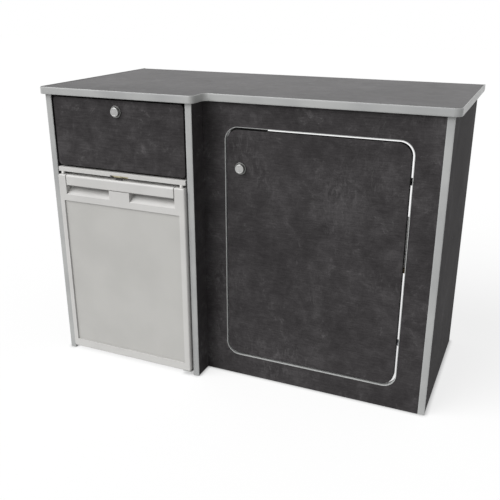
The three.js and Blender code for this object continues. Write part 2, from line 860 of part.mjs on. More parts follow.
// A link of a concealed hinge: an eye on the door's pin, a swan neck that clears the edge of the
// door as it swings past, and an eye on the frame's pin
function hingeLink(doorPin, framePin, neck, [low, high], doorBore) {
  const [x, y] = doorPin;
  const centre = [[x, y]];
  const steps = 6;
  for (let step = 0; step <= steps; step++) {
    const angle = THREE.MathUtils.degToRad(neck.from + ((neck.to - neck.from) * step) / steps);
    centre.push([x + neck.radius * Math.cos(angle), y + neck.radius * Math.sin(angle)]);
  }
  centre.push(framePin);
  const half = hinge.linkSheet / 2;
  const sides = centre.map(([px, py], i) => {
    const [ax, ay] = centre[Math.max(i - 1, 0)];
    const [bx, by] = centre[Math.min(i + 1, centre.length - 1)];
    const length = Math.hypot(bx - ax, by - ay);
    const [nx, ny] = [(ay - by) / length, (bx - ax) / length];
    return [[px + nx * half, py + ny * half], [px - nx * half, py - ny * half]];
  });
  const outline = [...sides.map((pair) => pair[1]), ...sides.map((pair) => pair[0]).reverse()];
  const past = [low - overrun, high + overrun];
  const body = join(
    prism("z", outline, [low, high]),
    rod("z", hinge.eye, [low, high], doorPin, 16),
    rod("z", hinge.eye, [low, high], framePin, 16),
  );
  return cut(
    body,
    rod("z", doorBore, past, doorPin, 12),
    rod("z", hinge.pin + seat, past, framePin, 12),
  );
}

// One concealed hinge; its links lie on two levels, the inner one above the outer one
function buildHinge(parent, name) {
  const upper = [seat, seat + hinge.linkHeight];
  const lower = [-seat - hinge.linkHeight, -seat];
  const inner = hingeLink(hinge.innerDoor, hinge.innerFrame, innerNeck, upper, hinge.pin + seat);
  add(parent, "hinge_inner_link_" + name, inner, zinc);
  const play = hinge.loosePin + hinge.loosePlay;
  const outer = hingeLink(hinge.outerDoor, hinge.outerFrame, outerNeck, lower, play);
  add(parent, "hinge_outer_link_" + name, outer, zinc);

  const back = cupboardDoor.thickness;
  const cupBottom = back - hinge.cupDepth + seat;
  const middle = -hinge.cupFromEdge;
  const pocketHalf = hinge.pocketHeight / 2;
  const flange = roundedPath(
    rectangle(
      [middle - hinge.flange / 2, middle + hinge.flange / 2],
      [-hinge.flangeHeight / 2, hinge.flangeHeight / 2],
      hinge.flangeCorner,
    ),
    0,
    true,
    3,
  );
  const cup = join(
    cut(
      join(
        rod("y", hinge.cup / 2 - seat, [cupBottom, back + seat + hinge.flangeSheet], [middle, 0], 28),
        prism("y", flange, [back + seat, back + seat + hinge.flangeSheet]),
      ),
      block(
        [middle - hinge.pocket / 2, middle + hinge.pocket / 2],
        [cupBottom + hinge.cupFloor, back + overrun],
        [-pocketHalf, pocketHalf],
      ),
    ),
    rod("z", hinge.pin, [seat, pocketHalf + seat], hinge.innerDoor, 12),
    rod("z", hinge.loosePin, [-pocketHalf - seat, -seat], hinge.outerDoor, 12),
  );
  add(parent, "hinge_cup_" + name, cup, zinc);

  const cheekFrom = seat + hinge.linkHeight + seat;
  const cheekTo = cheekFrom + hinge.cheek;
  const armDepth = [hinge.armFront, hinge.armFront + hinge.armDepth];
  const armStart = hinge.innerFrame[0] + hinge.eye + seat;
  const cheekStart = hinge.outerFrame[0] - hinge.cheekReach;
  const plateEnd = armStart + hinge.plate;
  const frameHalf = join(
    block(
      [armStart, plateEnd],
      [back + seat, back + seat + hinge.plateSheet],
      [-hinge.plateHeight / 2, hinge.plateHeight / 2],
    ),
    block([armStart, armStart + hinge.armEnd / 2], [back + seat, armDepth[1]], [-cheekTo, cheekTo]),
    block([cheekStart, armStart + seat], armDepth, [cheekFrom, cheekTo]),
    block([cheekStart, armStart + seat], armDepth, [-cheekTo, -cheekFrom]),
    rod("z", hinge.pin, [seat, cheekFrom + seat], hinge.innerFrame, 12),
    rod("z", hinge.pin, [-cheekFrom - seat, -seat], hinge.outerFrame, 12),
  );
  add(parent, "hinge_arm_" + name, frameHalf, zinc);
}

// Outline of the fridge body from the side as [y, z], a wall thickness inside its outer skin
function bodyOutline(inset) {
  const front = fridge.bodyFront;
  const rear = front + fridge.bodyDepth;
  const top = fridgeTop;
  if (inset === 0) {
    return [
      [front, fridge.bodyLift],
      [rear - machineRoom.depth, fridge.bodyLift],
      [rear - machineRoom.depth, machineRoom.height],
      [rear, machineRoom.height],
      [rear, top],
      [front, top],
    ];
  }
  return [
    [front - overrun, fridge.bodyLift + inset],
    [rear - machineRoom.depth - inset, fridge.bodyLift + inset],
    [rear - machineRoom.depth - inset, machineRoom.height + inset],
    [rear - inset, machineRoom.height + inset],
    [rear - inset, top - inset],
    [front - overrun, top - inset],
  ];
}

function bodySpan(inset) {
  return [fridge.bodySide + inset, fridge.width - fridge.bodySide - inset];
}

function buildFridge() {
  const place = group(unit, trimWidth + fridge.toUpright, 0, deck.thickness);
  const pinX = fridge.width - fridge.pinFromSide;
  buildFridgeBody(place, pinX);
  buildFridgeInside(place);
  buildCooling(place);
  buildFridgeDoor(place, pinX);
}

function buildFridgeBody(place, pinX) {
  const shell = prism("x", bodyOutline(0), bodySpan(0));
  const hollow = prism("x", bodyOutline(fridge.wall), bodySpan(fridge.wall));
  const [left, right] = bodySpan(0);
  const far = fridge.bodyFront + fridge.bodyDepth - machineRoom.depth;
  const footAt = (x, y) => block(x, y, [seat, fridge.bodyLift + seat]);
  const leftFoot = [left + feet.inset, left + feet.inset + feet.size];
  const rightFoot = [right - feet.inset - feet.size, right - feet.inset];
  const bracketX = [pinX - lowerBracket.width / 2, fridge.width];
  const bracketTop = -lowerBracket.gap;
  const bracket = block(
    bracketX,
    [lowerBracket.front, deck.front - seat],
    [bracketTop - lowerBracket.thickness, bracketTop],
  );
  const riser = block(
    bracketX,
    [fridge.bodyFront, deck.front - seat],
    [bracketTop - lowerBracket.thickness, fridge.bodyLift + seat],
  );
  const body = join(
    cut(shell, hollow),
    footAt(leftFoot, [deck.front + feet.inset, deck.front + feet.inset + feet.size]),
    footAt(rightFoot, [deck.front + feet.inset, deck.front + feet.inset + feet.size]),
    footAt(leftFoot, [far - feet.inset - feet.size, far - feet.inset]),
    footAt(rightFoot, [far - feet.inset - feet.size, far - feet.inset]),
    bracket,
    riser,
    rod("z", fridge.pin, [bracketTop - seat, fridge.pinDepth], [pinX, 0], 20),
  );
  add(place, "fridge_housing", body, whitePlastic);

  const railSlab = block(
    [0, fridge.width],
    [fridge.railFront, fridge.bodyFront - seat],
    [railBottom, railBottom + fridge.railHeight],
  );
  const notch = block(
    notchSpan,
    [fridge.railFront - overrun, fridge.railFront + railNotch.depth],
    [railBottom - overrun, railBottom + railNotch.height],
  );
  const rail = join(
    cut(railSlab, notch),
    rod("z", fridge.pin, [doorTop - fridge.pinDepth, railBottom + seat], [pinX, 0]),
    rod("z", fridge.pin, [doorTop + fridge.pinFit, railBottom + seat], [fridge.pinFromSide, 0]),
  );
  add(place, "fridge_top_rail", rail, greyPlastic);
  const plateSpan = [notchSpan[0] + latchPlate.inset, notchSpan[1] - latchPlate.inset];
  const plateFront = fridge.railFront + latchPlate.inset;
  const plateTop = railBottom + railNotch.height - seat;
  const plate = join(
    block(
      plateSpan,
      [plateFront, plateFront + latchPlate.depth],
      [plateTop - latchPlate.thickness, plateTop],
    ),
    block(
      plateSpan,
      [plateFront + latchPlate.depth - latchPlate.thickness, plateFront + latchPlate.depth],
      [plateTop - latchPlate.height, plateTop],
    ),
  );
  add(place, "fridge_latch_plate", plate, brass);
}

function buildFridgeInside(place) {
  const outer = fridge.wall + seat;
  const inner = linerDepth;
  const [left, right] = bodySpan(inner);
  const rear = fridge.bodyFront + fridge.bodyDepth - inner;
  const open = block(
    bodySpan(-overrun),
    [fridge.bodyFront - 2 * overrun, fridge.bodyFront],
    [0, fridgeTop],
  );
  const shell = cut(
    prism("x", bodyOutline(outer), bodySpan(outer)),
    prism("x", bodyOutline(inner), bodySpan(inner)),
    open,
  );
  const shelfLevels = shelfLevelShares.map((share) => insideFloor + insideHeight * share);
  const ledges = shelfLevels.flatMap((level) =>
    [[left - seat, left + ledge.reach], [right - ledge.reach, right + seat]].map((across) =>
      block(across, [fridgeShelf.front, rear + seat], [level - seat - ledge.height, level - seat]),
    ),
  );
  add(place, "fridge_liner", join(shell, ...ledges), whitePlastic);

  const slotsWidth = right - left - 2 * (fridgeShelf.fit + fridgeShelf.rim);
  const pitch = slotsWidth / fridgeShelf.bars;
  const span = [left + fridgeShelf.fit, right - fridgeShelf.fit];
  const along = [fridgeShelf.front, rear - fridgeShelf.fit];
  for (const [name, level] of [["lower", shelfLevels[0]], ["upper", shelfLevels[1]]]) {
    const height = [level, level + fridgeShelf.thickness];
    const slots = [];
    for (let bar = 0; bar < fridgeShelf.bars; bar++) {
      const middle = span[0] + fridgeShelf.rim + pitch * (bar + 1 / 2);
      const half = (pitch * fridgeShelf.share) / 2;
      const slotAlong = [along[0] + fridgeShelf.rim, along[1] - fridgeShelf.rim];
      slots.push(block([middle - half, middle + half], slotAlong, [level - overrun, level + overrun]));
    }
    add(place, "fridge_shelf_" + name, cut(block(span, along, height), ...slots), aluminium);
  }

  const ceiling = fridgeTop - inner - seat;
  const floor = ceiling - insideHeight * iceBoxHeightShare;
  const middle = (left + right) / 2;
  const half = iceBox.width / 2;
  const boxOuter = roundedPath(
    rectangle([middle - half, middle + half], [floor, ceiling], iceBox.corner),
    0,
    true,
    3,
  );
  const boxInner = roundedPath(
    rectangle([middle - half, middle + half], [floor, ceiling], iceBox.corner),
    iceBox.sheet,
    true,
    3,
  );
  const box = cut(
    prism("y", boxOuter, [iceBox.front, iceBox.front + iceBox.depth]),
    prism("y", boxInner, [iceBox.front - overrun, iceBox.front + iceBox.depth - iceBox.sheet]),
  );
  add(place, "fridge_ice_box", box, aluminium);
}

function buildCooling(place) {
  const rear = fridge.bodyFront + fridge.bodyDepth;
  const x = compressor.fromLeft;
  const y = rear - compressor.fromRear;
  const radius = compressor.radius;
  const half = compressor.height / 2;
  const profile = [[0, 0]];
  const steps = 6;
  for (let step = 0; step <= steps; step++) {
    const turn = (Math.PI / 2) * (step / steps);
    const out = radius * Math.sqrt(Math.sin(turn));
    if (step > 0) profile.push([out, half - half * Math.sqrt(Math.cos(turn))]);
  }
  profile.push([radius + compressor.waist, half]);
  profile.push([radius + compressor.waist, half + compressor.waist]);
  for (let step = steps; step > 0; step--) {
    const turn = (Math.PI / 2) * (step / steps);
    const out = radius * Math.sqrt(Math.sin(turn));
    profile.push([out, half + compressor.waist + half * Math.sqrt(Math.cos(turn))]);
  }
  profile.push([0, compressor.height + compressor.waist]);
  const pot = new THREE.LatheGeometry(
    profile.map(([r, z]) => new THREE.Vector2(r, z)),
    24,
  )
    .rotateX(Math.PI / 2)
    .translate(x, y, compressor.lift);
  const plateX = [x - compressor.plateWidth / 3, x + (compressor.plateWidth * 2) / 3];
  const plateY = [rear - compressor.plateDepth, rear - seat];
  const mounts = [[-1, -1], [1, -1], [1, 1], [-1, 1]].map(([sx, sy]) =>
    rod(
      "z",
      compressor.mount,
      [seat, compressor.lift + compressor.mount],
      [x + (sx * compressor.mountSpread) / 2, y + (sy * compressor.mountSpread) / 2],
      12,
    ),
  );
  const boxX = x + radius - compressor.mount;
  const body = join(
    pot,
    block(plateX, plateY, [seat, seat + compressor.plateSheet]),
    ...mounts,
    block(
      [boxX, boxX + compressor.boxWidth],
      [y - compressor.boxDepth / 2, y + compressor.boxDepth / 2],
      [compressor.lift + compressor.boxHeight / 2, compressor.lift + (compressor.boxHeight * 3) / 2],
    ),
    rod(
      "x",
      compressor.stub,
      [x - radius - compressor.stubLength, x],
      [y, compressor.lift + half / 2],
      12,
    ),
  );
  add(place, "compressor", body, blackSteel);
  add(place, "condenser", condenserGeometry(rear), blackSteel);
}

// A serpentine tube on two strips that stand it off the rear of the fridge
function condenserGeometry(rear) {
  const bottom = machineRoom.height + condenser.overMachineRoom;
  const top = fridgeTop - condenser.fromTop;
  const pitch = (top - bottom) / (condenser.runs - 1);
  const radius = pitch / 2;
  const left = condenser.fromSide;
  const right = fridge.width - condenser.fromSide;
  const from = left + radius;
  const to = right - radius;
  const y = rear + condenser.standOff;
  const arcSteps = 6;
  const points = [];
  for (let run = 0; run < condenser.runs; run++) {
    const z = bottom + run * pitch;
    const rightwards = run % 2 === 0;
    const [start, end] = rightwards ? [from, to] : [to, from];
    points.push([start, z], [end, z]);
    if (run === condenser.runs - 1) break;
    for (let step = 1; step < arcSteps; step++) {
      const turn = (Math.PI * step) / arcSteps;
      const out = radius * Math.sin(turn) * (rightwards ? 1 : -1);
      points.push([end + out, z + radius - radius * Math.cos(turn)]);
    }
  }
  const sides = 8;
  const across = new THREE.Vector3(0, 1, 0);
  const rows = points.map(([x, z], i) => {
    const [ax, az] = points[Math.max(i - 1, 0)];
    const [bx, bz] = points[Math.min(i + 1, points.length - 1)];
    const along = new THREE.Vector3(bx - ax, 0, bz - az).normalize();
    const side = along.clone().cross(across);
    return Array.from({ length: sides }, (_, k) => {
      const turn = (2 * Math.PI * k) / sides;
      const out = (condenser.tube / 2) * Math.cos(turn);
      const back = (condenser.tube / 2) * Math.sin(turn);
      return [x + side.x * out, y + back, z + side.z * out];
    });
  });
  const strips = condenser.stripShares.map((share) => {
    const x = left + (right - left) * share;
    const reach = [x - condenser.strip / 2, x + condenser.strip / 2];
    const tall = [bottom - radius, top + radius];
    const web = block(reach, [y - condenser.tube / 2, y - condenser.tube / 2 + condenser.stripSheet], tall);
    const foot = (z) => block(reach, [rear + seat, y - condenser.tube / 4], [z, z + condenser.strip]);
    return join(web, foot(tall[0]), foot(tall[1] - condenser.strip));
  });
  return join(loft(rows), ...strips);
}

function buildFridgeDoor(place, pinX) {
  const door = group(place, 0, 0, 0);
  const front = fridge.doorFront;
  const grip = front + fridgeDoor.gripDepth;
  const outline = rectangle([0, fridge.width], [0, doorTop], fridgeDoor.corner);
  const slab = facePanel(outline, [front, front + fridgeDoor.frameDepth], fridgeDoor.edge, 3, 3);
  const slot = block(handleSpan, [front - overrun, grip], [handleBottom, doorTop + overrun]);
  // Finger recesses: the floor climbs towards the back, where the fingers reach up behind the bar
  const recess = (span) => {
    const low = doorTop - fridgeDoor.recessBelowTop;
    const rise = (fridgeDoor.recessRise * overrun) / fridgeDoor.gripDepth;
    const outline = [
      [front - overrun, low - rise],
      [grip, low + fridgeDoor.recessRise],
      [grip, handleBottom + overrun],
      [front - overrun, handleBottom + overrun],
    ];
    return prism("x", outline, span);
  };
  const insertBack = front + fridgeDoor.insertDepth + fridgeDoor.insert + seat;
  const well = prism(
    "y",
    roundedPath(rectangle(insertSpan, insertHeight, fridgeDoor.insertCorner), 0, true, 3),
    [front - overrun, insertBack],
  );
  const pinBore = fridge.pin + fridge.pinFit;
  const pinHoles = [
    rod("z", pinBore, [-overrun, fridge.pinDepth + fridge.pinFit], [pinX, 0]),
    rod("z", pinBore, [doorTop - fridge.pinDepth - fridge.pinFit, doorTop + overrun], [pinX, 0]),
  ];
  const handleZ = doorTop - handle.pinDown;
  const handleY = front + handle.pinBack;
  const pinReach = handle.pinLength - handle.endGap + seat;
  const handleBore = rod(
    "x",
    handle.pinRadius + seat,
    [handleSpan[0] - pinReach, handleSpan[1] + pinReach],
    [handleY, handleZ],
    12,
  );
  const notch = block(
    [fridgeDoor.notchFrom, fridgeDoor.notchTo],
    [front - overrun, front + fridgeDoor.notchDepth],
    [-overrun, fridgeDoor.notchHeight],
  );
  const recesses = [
    [handleSpan[0], doorMiddle - fridgeDoor.boss / 2],
    [doorMiddle + fridgeDoor.boss / 2, handleSpan[1]],
  ].map(recess);
  const frame = cut(slab, slot, ...recesses, well, ...pinHoles, handleBore, notch);
  add(door, "fridge_door_frame", frame, greyPlastic);
  const insert = prism(
    "y",
    roundedPath(rectangle(insertSpan, insertHeight, fridgeDoor.insertCorner), seat, true, 3),
    [front + fridgeDoor.insertDepth, front + fridgeDoor.insertDepth + fridgeDoor.insert],
  );
  add(door, "fridge_door_insert", insert, insertPlastic);
  buildDoorInside(door);
  buildHandle(door, handleY, handleZ);
}

// The inner door panel is a flange with a raised pan; the racks hang on the pan
function buildDoorInside(door) {
  const flangeFront = fridge.doorFront + fridgeDoor.frameDepth + seat;
  const flangeBack = flangeFront + fridgeDoor.linerFlange;
  const flange = prism(
    "y",
    roundedPath(
      rectangle([0, fridge.width], [0, doorTop], fridgeDoor.corner),
      doorPan.flangeInset,
      true,
      3,
    ),
    [flangeFront, flangeBack],
  );
  const panCorners = rectangle(
    [doorPan.toSide, fridge.width - doorPan.toSide],
    [doorPan.bottom, doorTop - doorPan.belowTop],
    doorPan.corner,
  );
  const ring = (inset, y) => roundedPath(panCorners, inset, true, 3).map(([x, z]) => [x, y, z]);
  const panBack = flangeBack + doorPan.depth;
  const pan = loft([ring(0, flangeFront + seat), ring(doorPan.lip, panBack)]);
  const dish = loft([
    ring(doorPan.wall + doorPan.lip, panBack + overrun),
    ring(doorPan.wall + doorPan.lip, flangeBack),
  ]);
  add(door, "fridge_door_liner", cut(join(flange, pan), dish), whitePlastic);

  const sealCorners = rectangle(
    [gasket.fromEdge, fridge.width - gasket.fromEdge],
    [gasket.fromEdge, doorTop - gasket.fromEdge],
    gasket.corner,
  );
  const sealRow = (inset, y) => roundedPath(sealCorners, inset, true, 3).map(([x, z]) => [x, y, z]);
  const sealFront = flangeBack + seat;
  const sealBack = sealFront + gasket.thickness;
  const seal = prism(
    "y",
    sealRow(0, 0).map(([x, , z]) => [x, z]),
    [sealFront, sealBack],
    [sealRow(gasket.width, 0).map(([x, , z]) => [x, z])],
  );
  add(door, "fridge_door_gasket", seal, sealRubber);

  const dishWall = doorPan.wall + doorPan.lip + rack.fit;
  const rackX = [doorPan.toSide + dishWall, fridge.width - doorPan.toSide - dishWall];
  const rackFront = flangeBack + seat;
  const lowest = doorPan.bottom + dishWall;
  const raised = lowest + (doorTop - doorPan.belowTop - dishWall - lowest) * rackPitchShare;
  for (const [name, bottom] of [["lower", lowest], ["upper", raised]]) {
    const tray = (inset, low) => {
      const back = rackFront + rack.depth;
      return [
        [rackFront + inset, low],
        [back - rack.slope - inset, low],
        [back - inset, bottom + rack.height],
        [back - inset, bottom + rack.height + overrun],
        [rackFront + inset, bottom + rack.height + overrun],
      ];
    };
    const solid = cut(
      prism("x", tray(0, bottom), rackX),
      prism("x", tray(rack.wall, bottom + rack.wall), [rackX[0] + rack.wall, rackX[1] - rack.wall]),
      block(
        [rackX[0] - overrun, rackX[1] + overrun],
        [rackFront - overrun, rackFront + rack.depth + overrun],
        [bottom + rack.height, bottom + rack.height + 2 * overrun],
      ),
    );
    add(door, "door_rack_" + name, solid, whitePlastic);
  }
}

// The handle bar: a curved front plate with a thick top that turns on a pin at each end
function buildHandle(door, pinY, pinZ) {
  const front = fridge.doorFront;
  const top = doorTop;
  const bottom = handleBottom + handle.bottomGap;
  const span = [handleSpan[0] + handle.endGap, handleSpan[1] - handle.endGap];
  const section = [
    [front, bottom + handle.toePlate],
    [front + handle.toePlate, bottom],
    [front + handle.plate, bottom],
    [front + handle.plate, top - handle.web - handle.toePlate],
    [front + handle.plate + handle.toePlate, top - handle.web],
    [front + handle.topBack, top - handle.web],
    [front + handle.topBack, top - handle.toePlate],
    [front + handle.topBack - handle.toePlate, top],
  ];
  const arcSteps = 5;
  for (let step = 0; step <= arcSteps; step++) {
    const turn = (Math.PI / 2) * (step / arcSteps);
    const y = front + handle.topRound * (1 - Math.sin(turn));
    section.push([y, top - handle.topRound * (1 - Math.cos(turn))]);
  }
  const middle = (span[0] + span[1]) / 2;
  const catchBack = front + handle.topBack - handle.toePlate;
  const bar = join(
    prism("x", section, span),
    rod("x", handle.pinRadius, [span[0] - handle.pinLength, span[0] + overrun], [pinY, pinZ], 12),
    rod("x", handle.pinRadius, [span[1] - overrun, span[1] + handle.pinLength], [pinY, pinZ], 12),
    block(
      [middle - handle.catchWidth / 2, middle + handle.catchWidth / 2],
      [catchBack - handle.catchThickness, catchBack],
      [top - handle.toePlate, top + handle.catchHeight],
    ),
  );
  add(door, "fridge_handle_bar", bar, greyPlastic);
}

buildWorktop();
buildCarcass();
buildDrawer();
buildLockRail();
buildCupboardDoor();
buildFridge();

// The origin lies on the floor under the middle of the whole unit
const unitFront = Math.min(fridge.doorFront, -worktop.frontOverhang, drawerFront.face - lock.knobProud);
const unitBack = carcass.depth + worktop.rearOverhang;
unit.position.set(-unitWidth / 2, -(unitFront + unitBack) / 2, 0);

const model = new THREE.Group();
model.add(unit);
export default model;
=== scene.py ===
import math

import bmesh
import bpy
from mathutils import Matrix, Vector


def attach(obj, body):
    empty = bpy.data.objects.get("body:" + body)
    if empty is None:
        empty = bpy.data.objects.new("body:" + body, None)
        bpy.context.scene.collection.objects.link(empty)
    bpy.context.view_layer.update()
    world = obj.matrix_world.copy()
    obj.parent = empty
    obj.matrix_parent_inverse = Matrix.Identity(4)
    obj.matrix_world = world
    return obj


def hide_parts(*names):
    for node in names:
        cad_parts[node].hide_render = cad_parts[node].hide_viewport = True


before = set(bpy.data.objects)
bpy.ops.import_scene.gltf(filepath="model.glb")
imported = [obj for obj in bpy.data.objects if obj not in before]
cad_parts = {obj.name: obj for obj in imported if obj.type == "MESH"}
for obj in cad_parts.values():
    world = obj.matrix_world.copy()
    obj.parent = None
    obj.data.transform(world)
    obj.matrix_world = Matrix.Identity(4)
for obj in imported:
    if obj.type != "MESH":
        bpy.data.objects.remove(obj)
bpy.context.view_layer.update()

# The pieces are drawn in the millimetres of the part's source: x from the left upright, y from
# the front of the uprights, z from the floor. at() turns them into the frame's metres.
drawingOrigin = (505.5, 244.75, 0.0)
fridgeLeft, fridgeFloor = 20.75, 12.0  # the fridge's own sizes count from here


def at(x, y, z):
    return tuple((value - start) / 1000 for value, start in zip((x, y, z), drawingOrigin))


def mm(point):
    return tuple(value * 1000 + start for value, start in zip(point, drawingOrigin))


def across(low, high):
    return (low + fridgeLeft, high + fridgeLeft)


def tall(low, high):
    return (low + fridgeFloor, high + fridgeFloor)


# Materials


def linear(hexColour):
    channels = [int(hexColour[i : i + 2], 16) / 255 for i in (1, 3, 5)]
    return [c / 12.92 if c <= 0.04045 else ((c + 0.055) / 1.055) ** 2.4 for c in channels] + [1.0]


# Inputs come by name or number, or as a tuple in the node's own order. A node among them is
# linked by its first output, a socket as it is, and anything else is a value.
def setInputs(node, inputs):
    for key, value in inputs.items() if isinstance(inputs, dict) else enumerate(inputs):
        if isinstance(value, bpy.types.Node):
            value = value.outputs[0]
        if isinstance(value, bpy.types.NodeSocket):
            node.id_data.links.new(value, node.inputs[key])
        else:
            node.inputs[key].default_value = value


def addNode(tree, kind, inputs=(), stops=(), **settings):
    made = tree.nodes.new("ShaderNode" + kind)
    for key, value in settings.items():
        setattr(made, key, value)
    setInputs(made, inputs)
    if stops:
        ramp = made.color_ramp
        while len(ramp.elements) < len(stops):
            ramp.elements.new(0.5)
        for element, (position, colour) in zip(ramp.elements, stops):
            element.position = position
            element.color = linear(colour)
    return made


def newMaterial(name, shaderInputs):
    material = bpy.data.materials.new(name)
    material.use_nodes = True
    tree = material.node_tree
    tree.nodes.clear()
    shader = addNode(tree, "BsdfPrincipled", shaderInputs)
    addNode(tree, "OutputMaterial", {"Surface": shader})
    return material, tree, shader, addNode(tree, "TexCoord").outputs["Object"]


slateLook = {
    "panel": {
        "dark": "#333132",
        "middle": "#3b393a",
        "light": "#464445",
        "pale": "#636162",
        "roughness": 0.68,
        "specular": 0.05,
    },
    "top": {
        "dark": "#272526",
        "middle": "#312f30",
        "light": "#3f3d3e",
        "pale": "#5a5859",
        "roughness": 0.48,
        "specular": 0.45,
    },
    "slant": (0.0, math.radians(34), math.radians(20)),  # of the short pale strokes
    "noises": {
        # size in mm, detail, roughness, distortion
        "clouds": (150, 6, 0.62, 0.7),
        "patches": (34, 6, 0.7, 0.5),
        "groups": (150, 2, 0.5, 0.0),  # where the strokes gather
        "strokes": (9, 4, 0.6, 0.8),
        "ridge": (210, 7, 0.58, 1.4),
        "streaks": (3, 2, 0.5, 0.0),  # real threads are near 0.5 mm, coarser so that they show
        "grit": (2, 3, 0.6, 0.0),  # real grit is under 0.5 mm, coarser so that it shows
    },
}


# High-pressure laminate with a slate print, pressed matt: soft clouds with pale worn strokes and a
# few hairline veins, over a faint pressed texture that runs along the board
def slateLaminate(name, look, shift):
    shaderInputs = {"IOR": 1.5, "Specular IOR Level": look["specular"]}
    material, tree, shader, place = newMaterial(name, shaderInputs)
    moved = addNode(tree, "Mapping", {"Vector": place, "Location": shift})
    slanted = {"Vector": moved, "Rotation": slateLook["slant"], "Scale": (1.0, 1.0, 0.4)}
    drawnOut = {"Vector": moved, "Scale": (0.1, 1.0, 1.0)}
    laid = {"strokes": addNode(tree, "Mapping", slanted), "streaks": addNode(tree, "Mapping", drawnOut)}
    noise = {}
    for kind, (size, detail, roughness, distortion) in slateLook["noises"].items():
        inputs = {"Vector": laid.get(kind, moved), "Scale": 1000 / size, "Detail": detail}
        inputs.update({"Roughness": roughness, "Distortion": distortion})
        noise[kind] = addNode(tree, "TexNoise", inputs)
    clouded = {0: 0.5, 2: noise["clouds"], 3: noise["patches"]}
    both = addNode(tree, "Mix", clouded, data_type="FLOAT")
    shades = [(0.4, look["dark"]), (0.5, look["middle"]), (0.61, look["light"])]
    ground = addNode(tree, "ValToRGB", (both,), shades)

    # Worn strokes: a noise drawn out along a slanting line, kept only inside the groups
    inGroup = addNode(tree, "MapRange", (noise["groups"], 0.5, 0.68, 0.0, 0.6))
    pale = addNode(tree, "MapRange", (noise["strokes"], 0.5, 0.74, 0.0, 1.0))
    worn = addNode(tree, "Math", (pale, inGroup), operation="MULTIPLY")

    # Hairline veins are where a slow noise crosses its middle, kept only in some areas
    offMiddle = addNode(tree, "Math", (noise["ridge"], 0.5), operation="SUBTRACT")
    width = addNode(tree, "Math", (offMiddle,), operation="ABSOLUTE")
    line = addNode(tree, "MapRange", (width, 0.0, 0.01, 1.0, 0.0))
    where = addNode(tree, "MapRange", (noise["patches"], 0.5, 0.66, 0.0, 0.5))
    vein = addNode(tree, "Math", (line, where), operation="MULTIPLY")
    lighter = addNode(tree, "Math", (worn, vein), operation="MAXIMUM")
    marked = addNode(tree, "Mix", {0: lighter, 6: ground, 7: linear(look["pale"])}, data_type="RGBA")

    # Pressed texture along the board, and the grit of the overlay
    relief = {0: 0.5, 2: noise["streaks"], 3: noise["grit"]}
    pressed = addNode(tree, "Mix", relief, data_type="FLOAT")
    gritShade = addNode(tree, "MapRange", (pressed, 0.35, 0.65, 0.78, 1.22))
    shaded = {0: 1.0, 6: marked.outputs[2], 7: gritShade}
    colour = addNode(tree, "Mix", shaded, data_type="RGBA", blend_type="MULTIPLY").outputs[2]
    low, high = look["roughness"] - 0.05, look["roughness"] + 0.06
    gloss = addNode(tree, "MapRange", (noise["patches"], 0.3, 0.7, low, high))
    bump = addNode(tree, "Bump", {"Height": pressed, "Strength": 0.14, "Distance": 0.0004})
    setInputs(shader, {"Base Color": colour, "Roughness": gloss, "Normal": bump})
    return material


plasticLook = {
    # colour, shade, roughness, grain in mm, bump
    "edging": ("#a9aaa9", "#9c9d9d", 0.34, 1.6, 0.05),
    "fridge": ("#c4c3c1", "#bebdbb", 0.42, 1.1, 0.1),
    "insert": ("#b5b4b1", "#b0afac", 0.5, 1.4, 0.1),
    "liner": ("#e2e2de", "#dededa", 0.36, 1.8, 0.05),
    "pin": ("#e4e3e0", "#dbdad7", 0.35, 1.5, 0.04),
    "seal": ("#d4d3d0", "#c6c5c2", 0.62, 2.5, 0.08),
    "rubber": ("#2a2a2b", "#202021", 0.75, 1.2, 0.2),
    "boxCover": ("#262627", "#1e1e1f", 0.5, 1.0, 0.12),
    "cabinet": ("#d2d3d2", "#c9cac9", 0.38, 3.0, 0.1),
    # painted shade: black on the door's edges stands in for the shade in the gap round the door
    "doorEdgeShade": ("#131313", "#0e0e0f", 0.5, 1.4, 0.06),
    "blackPaint": ("#1c1c1d", "#151516", 0.36, 2.4, 0.14),
    "driftMm": 120,  # size of the slow change of colour in all of them
}


# Moulded and painted surfaces: an even colour that drifts a little, over a fine mould or spray
# texture. The real texture is 0.1 to 0.3 mm, drawn coarser so that it shows.
def mouldedPlastic(name, look):
    tone, shade, roughness, grainMm, relief = look
    material, tree, shader, place = newMaterial(name, {"IOR": 1.5})
    slow = {"Vector": place, "Scale": 1000 / plasticLook["driftMm"], "Detail": 3}
    drift = addNode(tree, "TexNoise", slow)
    colour = addNode(tree, "ValToRGB", (drift,), [(0.35, shade), (0.62, tone)])
    gloss = addNode(tree, "MapRange", (drift, 0.35, 0.65, roughness - 0.04, roughness + 0.05))
    texture = addNode(tree, "TexNoise", {"Vector": place, "Scale": 1000 / grainMm, "Detail": 2})
    bump = addNode(tree, "Bump", {"Height": texture, "Strength": relief, "Distance": 0.0003})
    setInputs(shader, {"Base Color": colour, "Roughness": gloss, "Normal": bump})
    return material


metalLook = {
    # colour, shade, roughness, grain and clouds in mm
    "satinChrome": ("#b4b4b3", "#a5a5a4", 0.24, 0.9, 14),
    # darker than the chrome: partly the casting's grey, partly painted shade and reflection round the
    # knobs
    "zincAndPaintedShade": ("#757574", "#636362", 0.36, 0.9, 10),
    "zinc": ("#a9abae", "#8f9296", 0.36, 1.6, 9),
    "brass": ("#c9c2a6", "#b5ad92", 0.42, 1.2, 12),
    "aluminium": ("#c9cbcd", "#b9bbbe", 0.34, 1.4, 26),
    "copper": ("#b5714a", "#8f5a3e", 0.34, 1.5, 11),
}


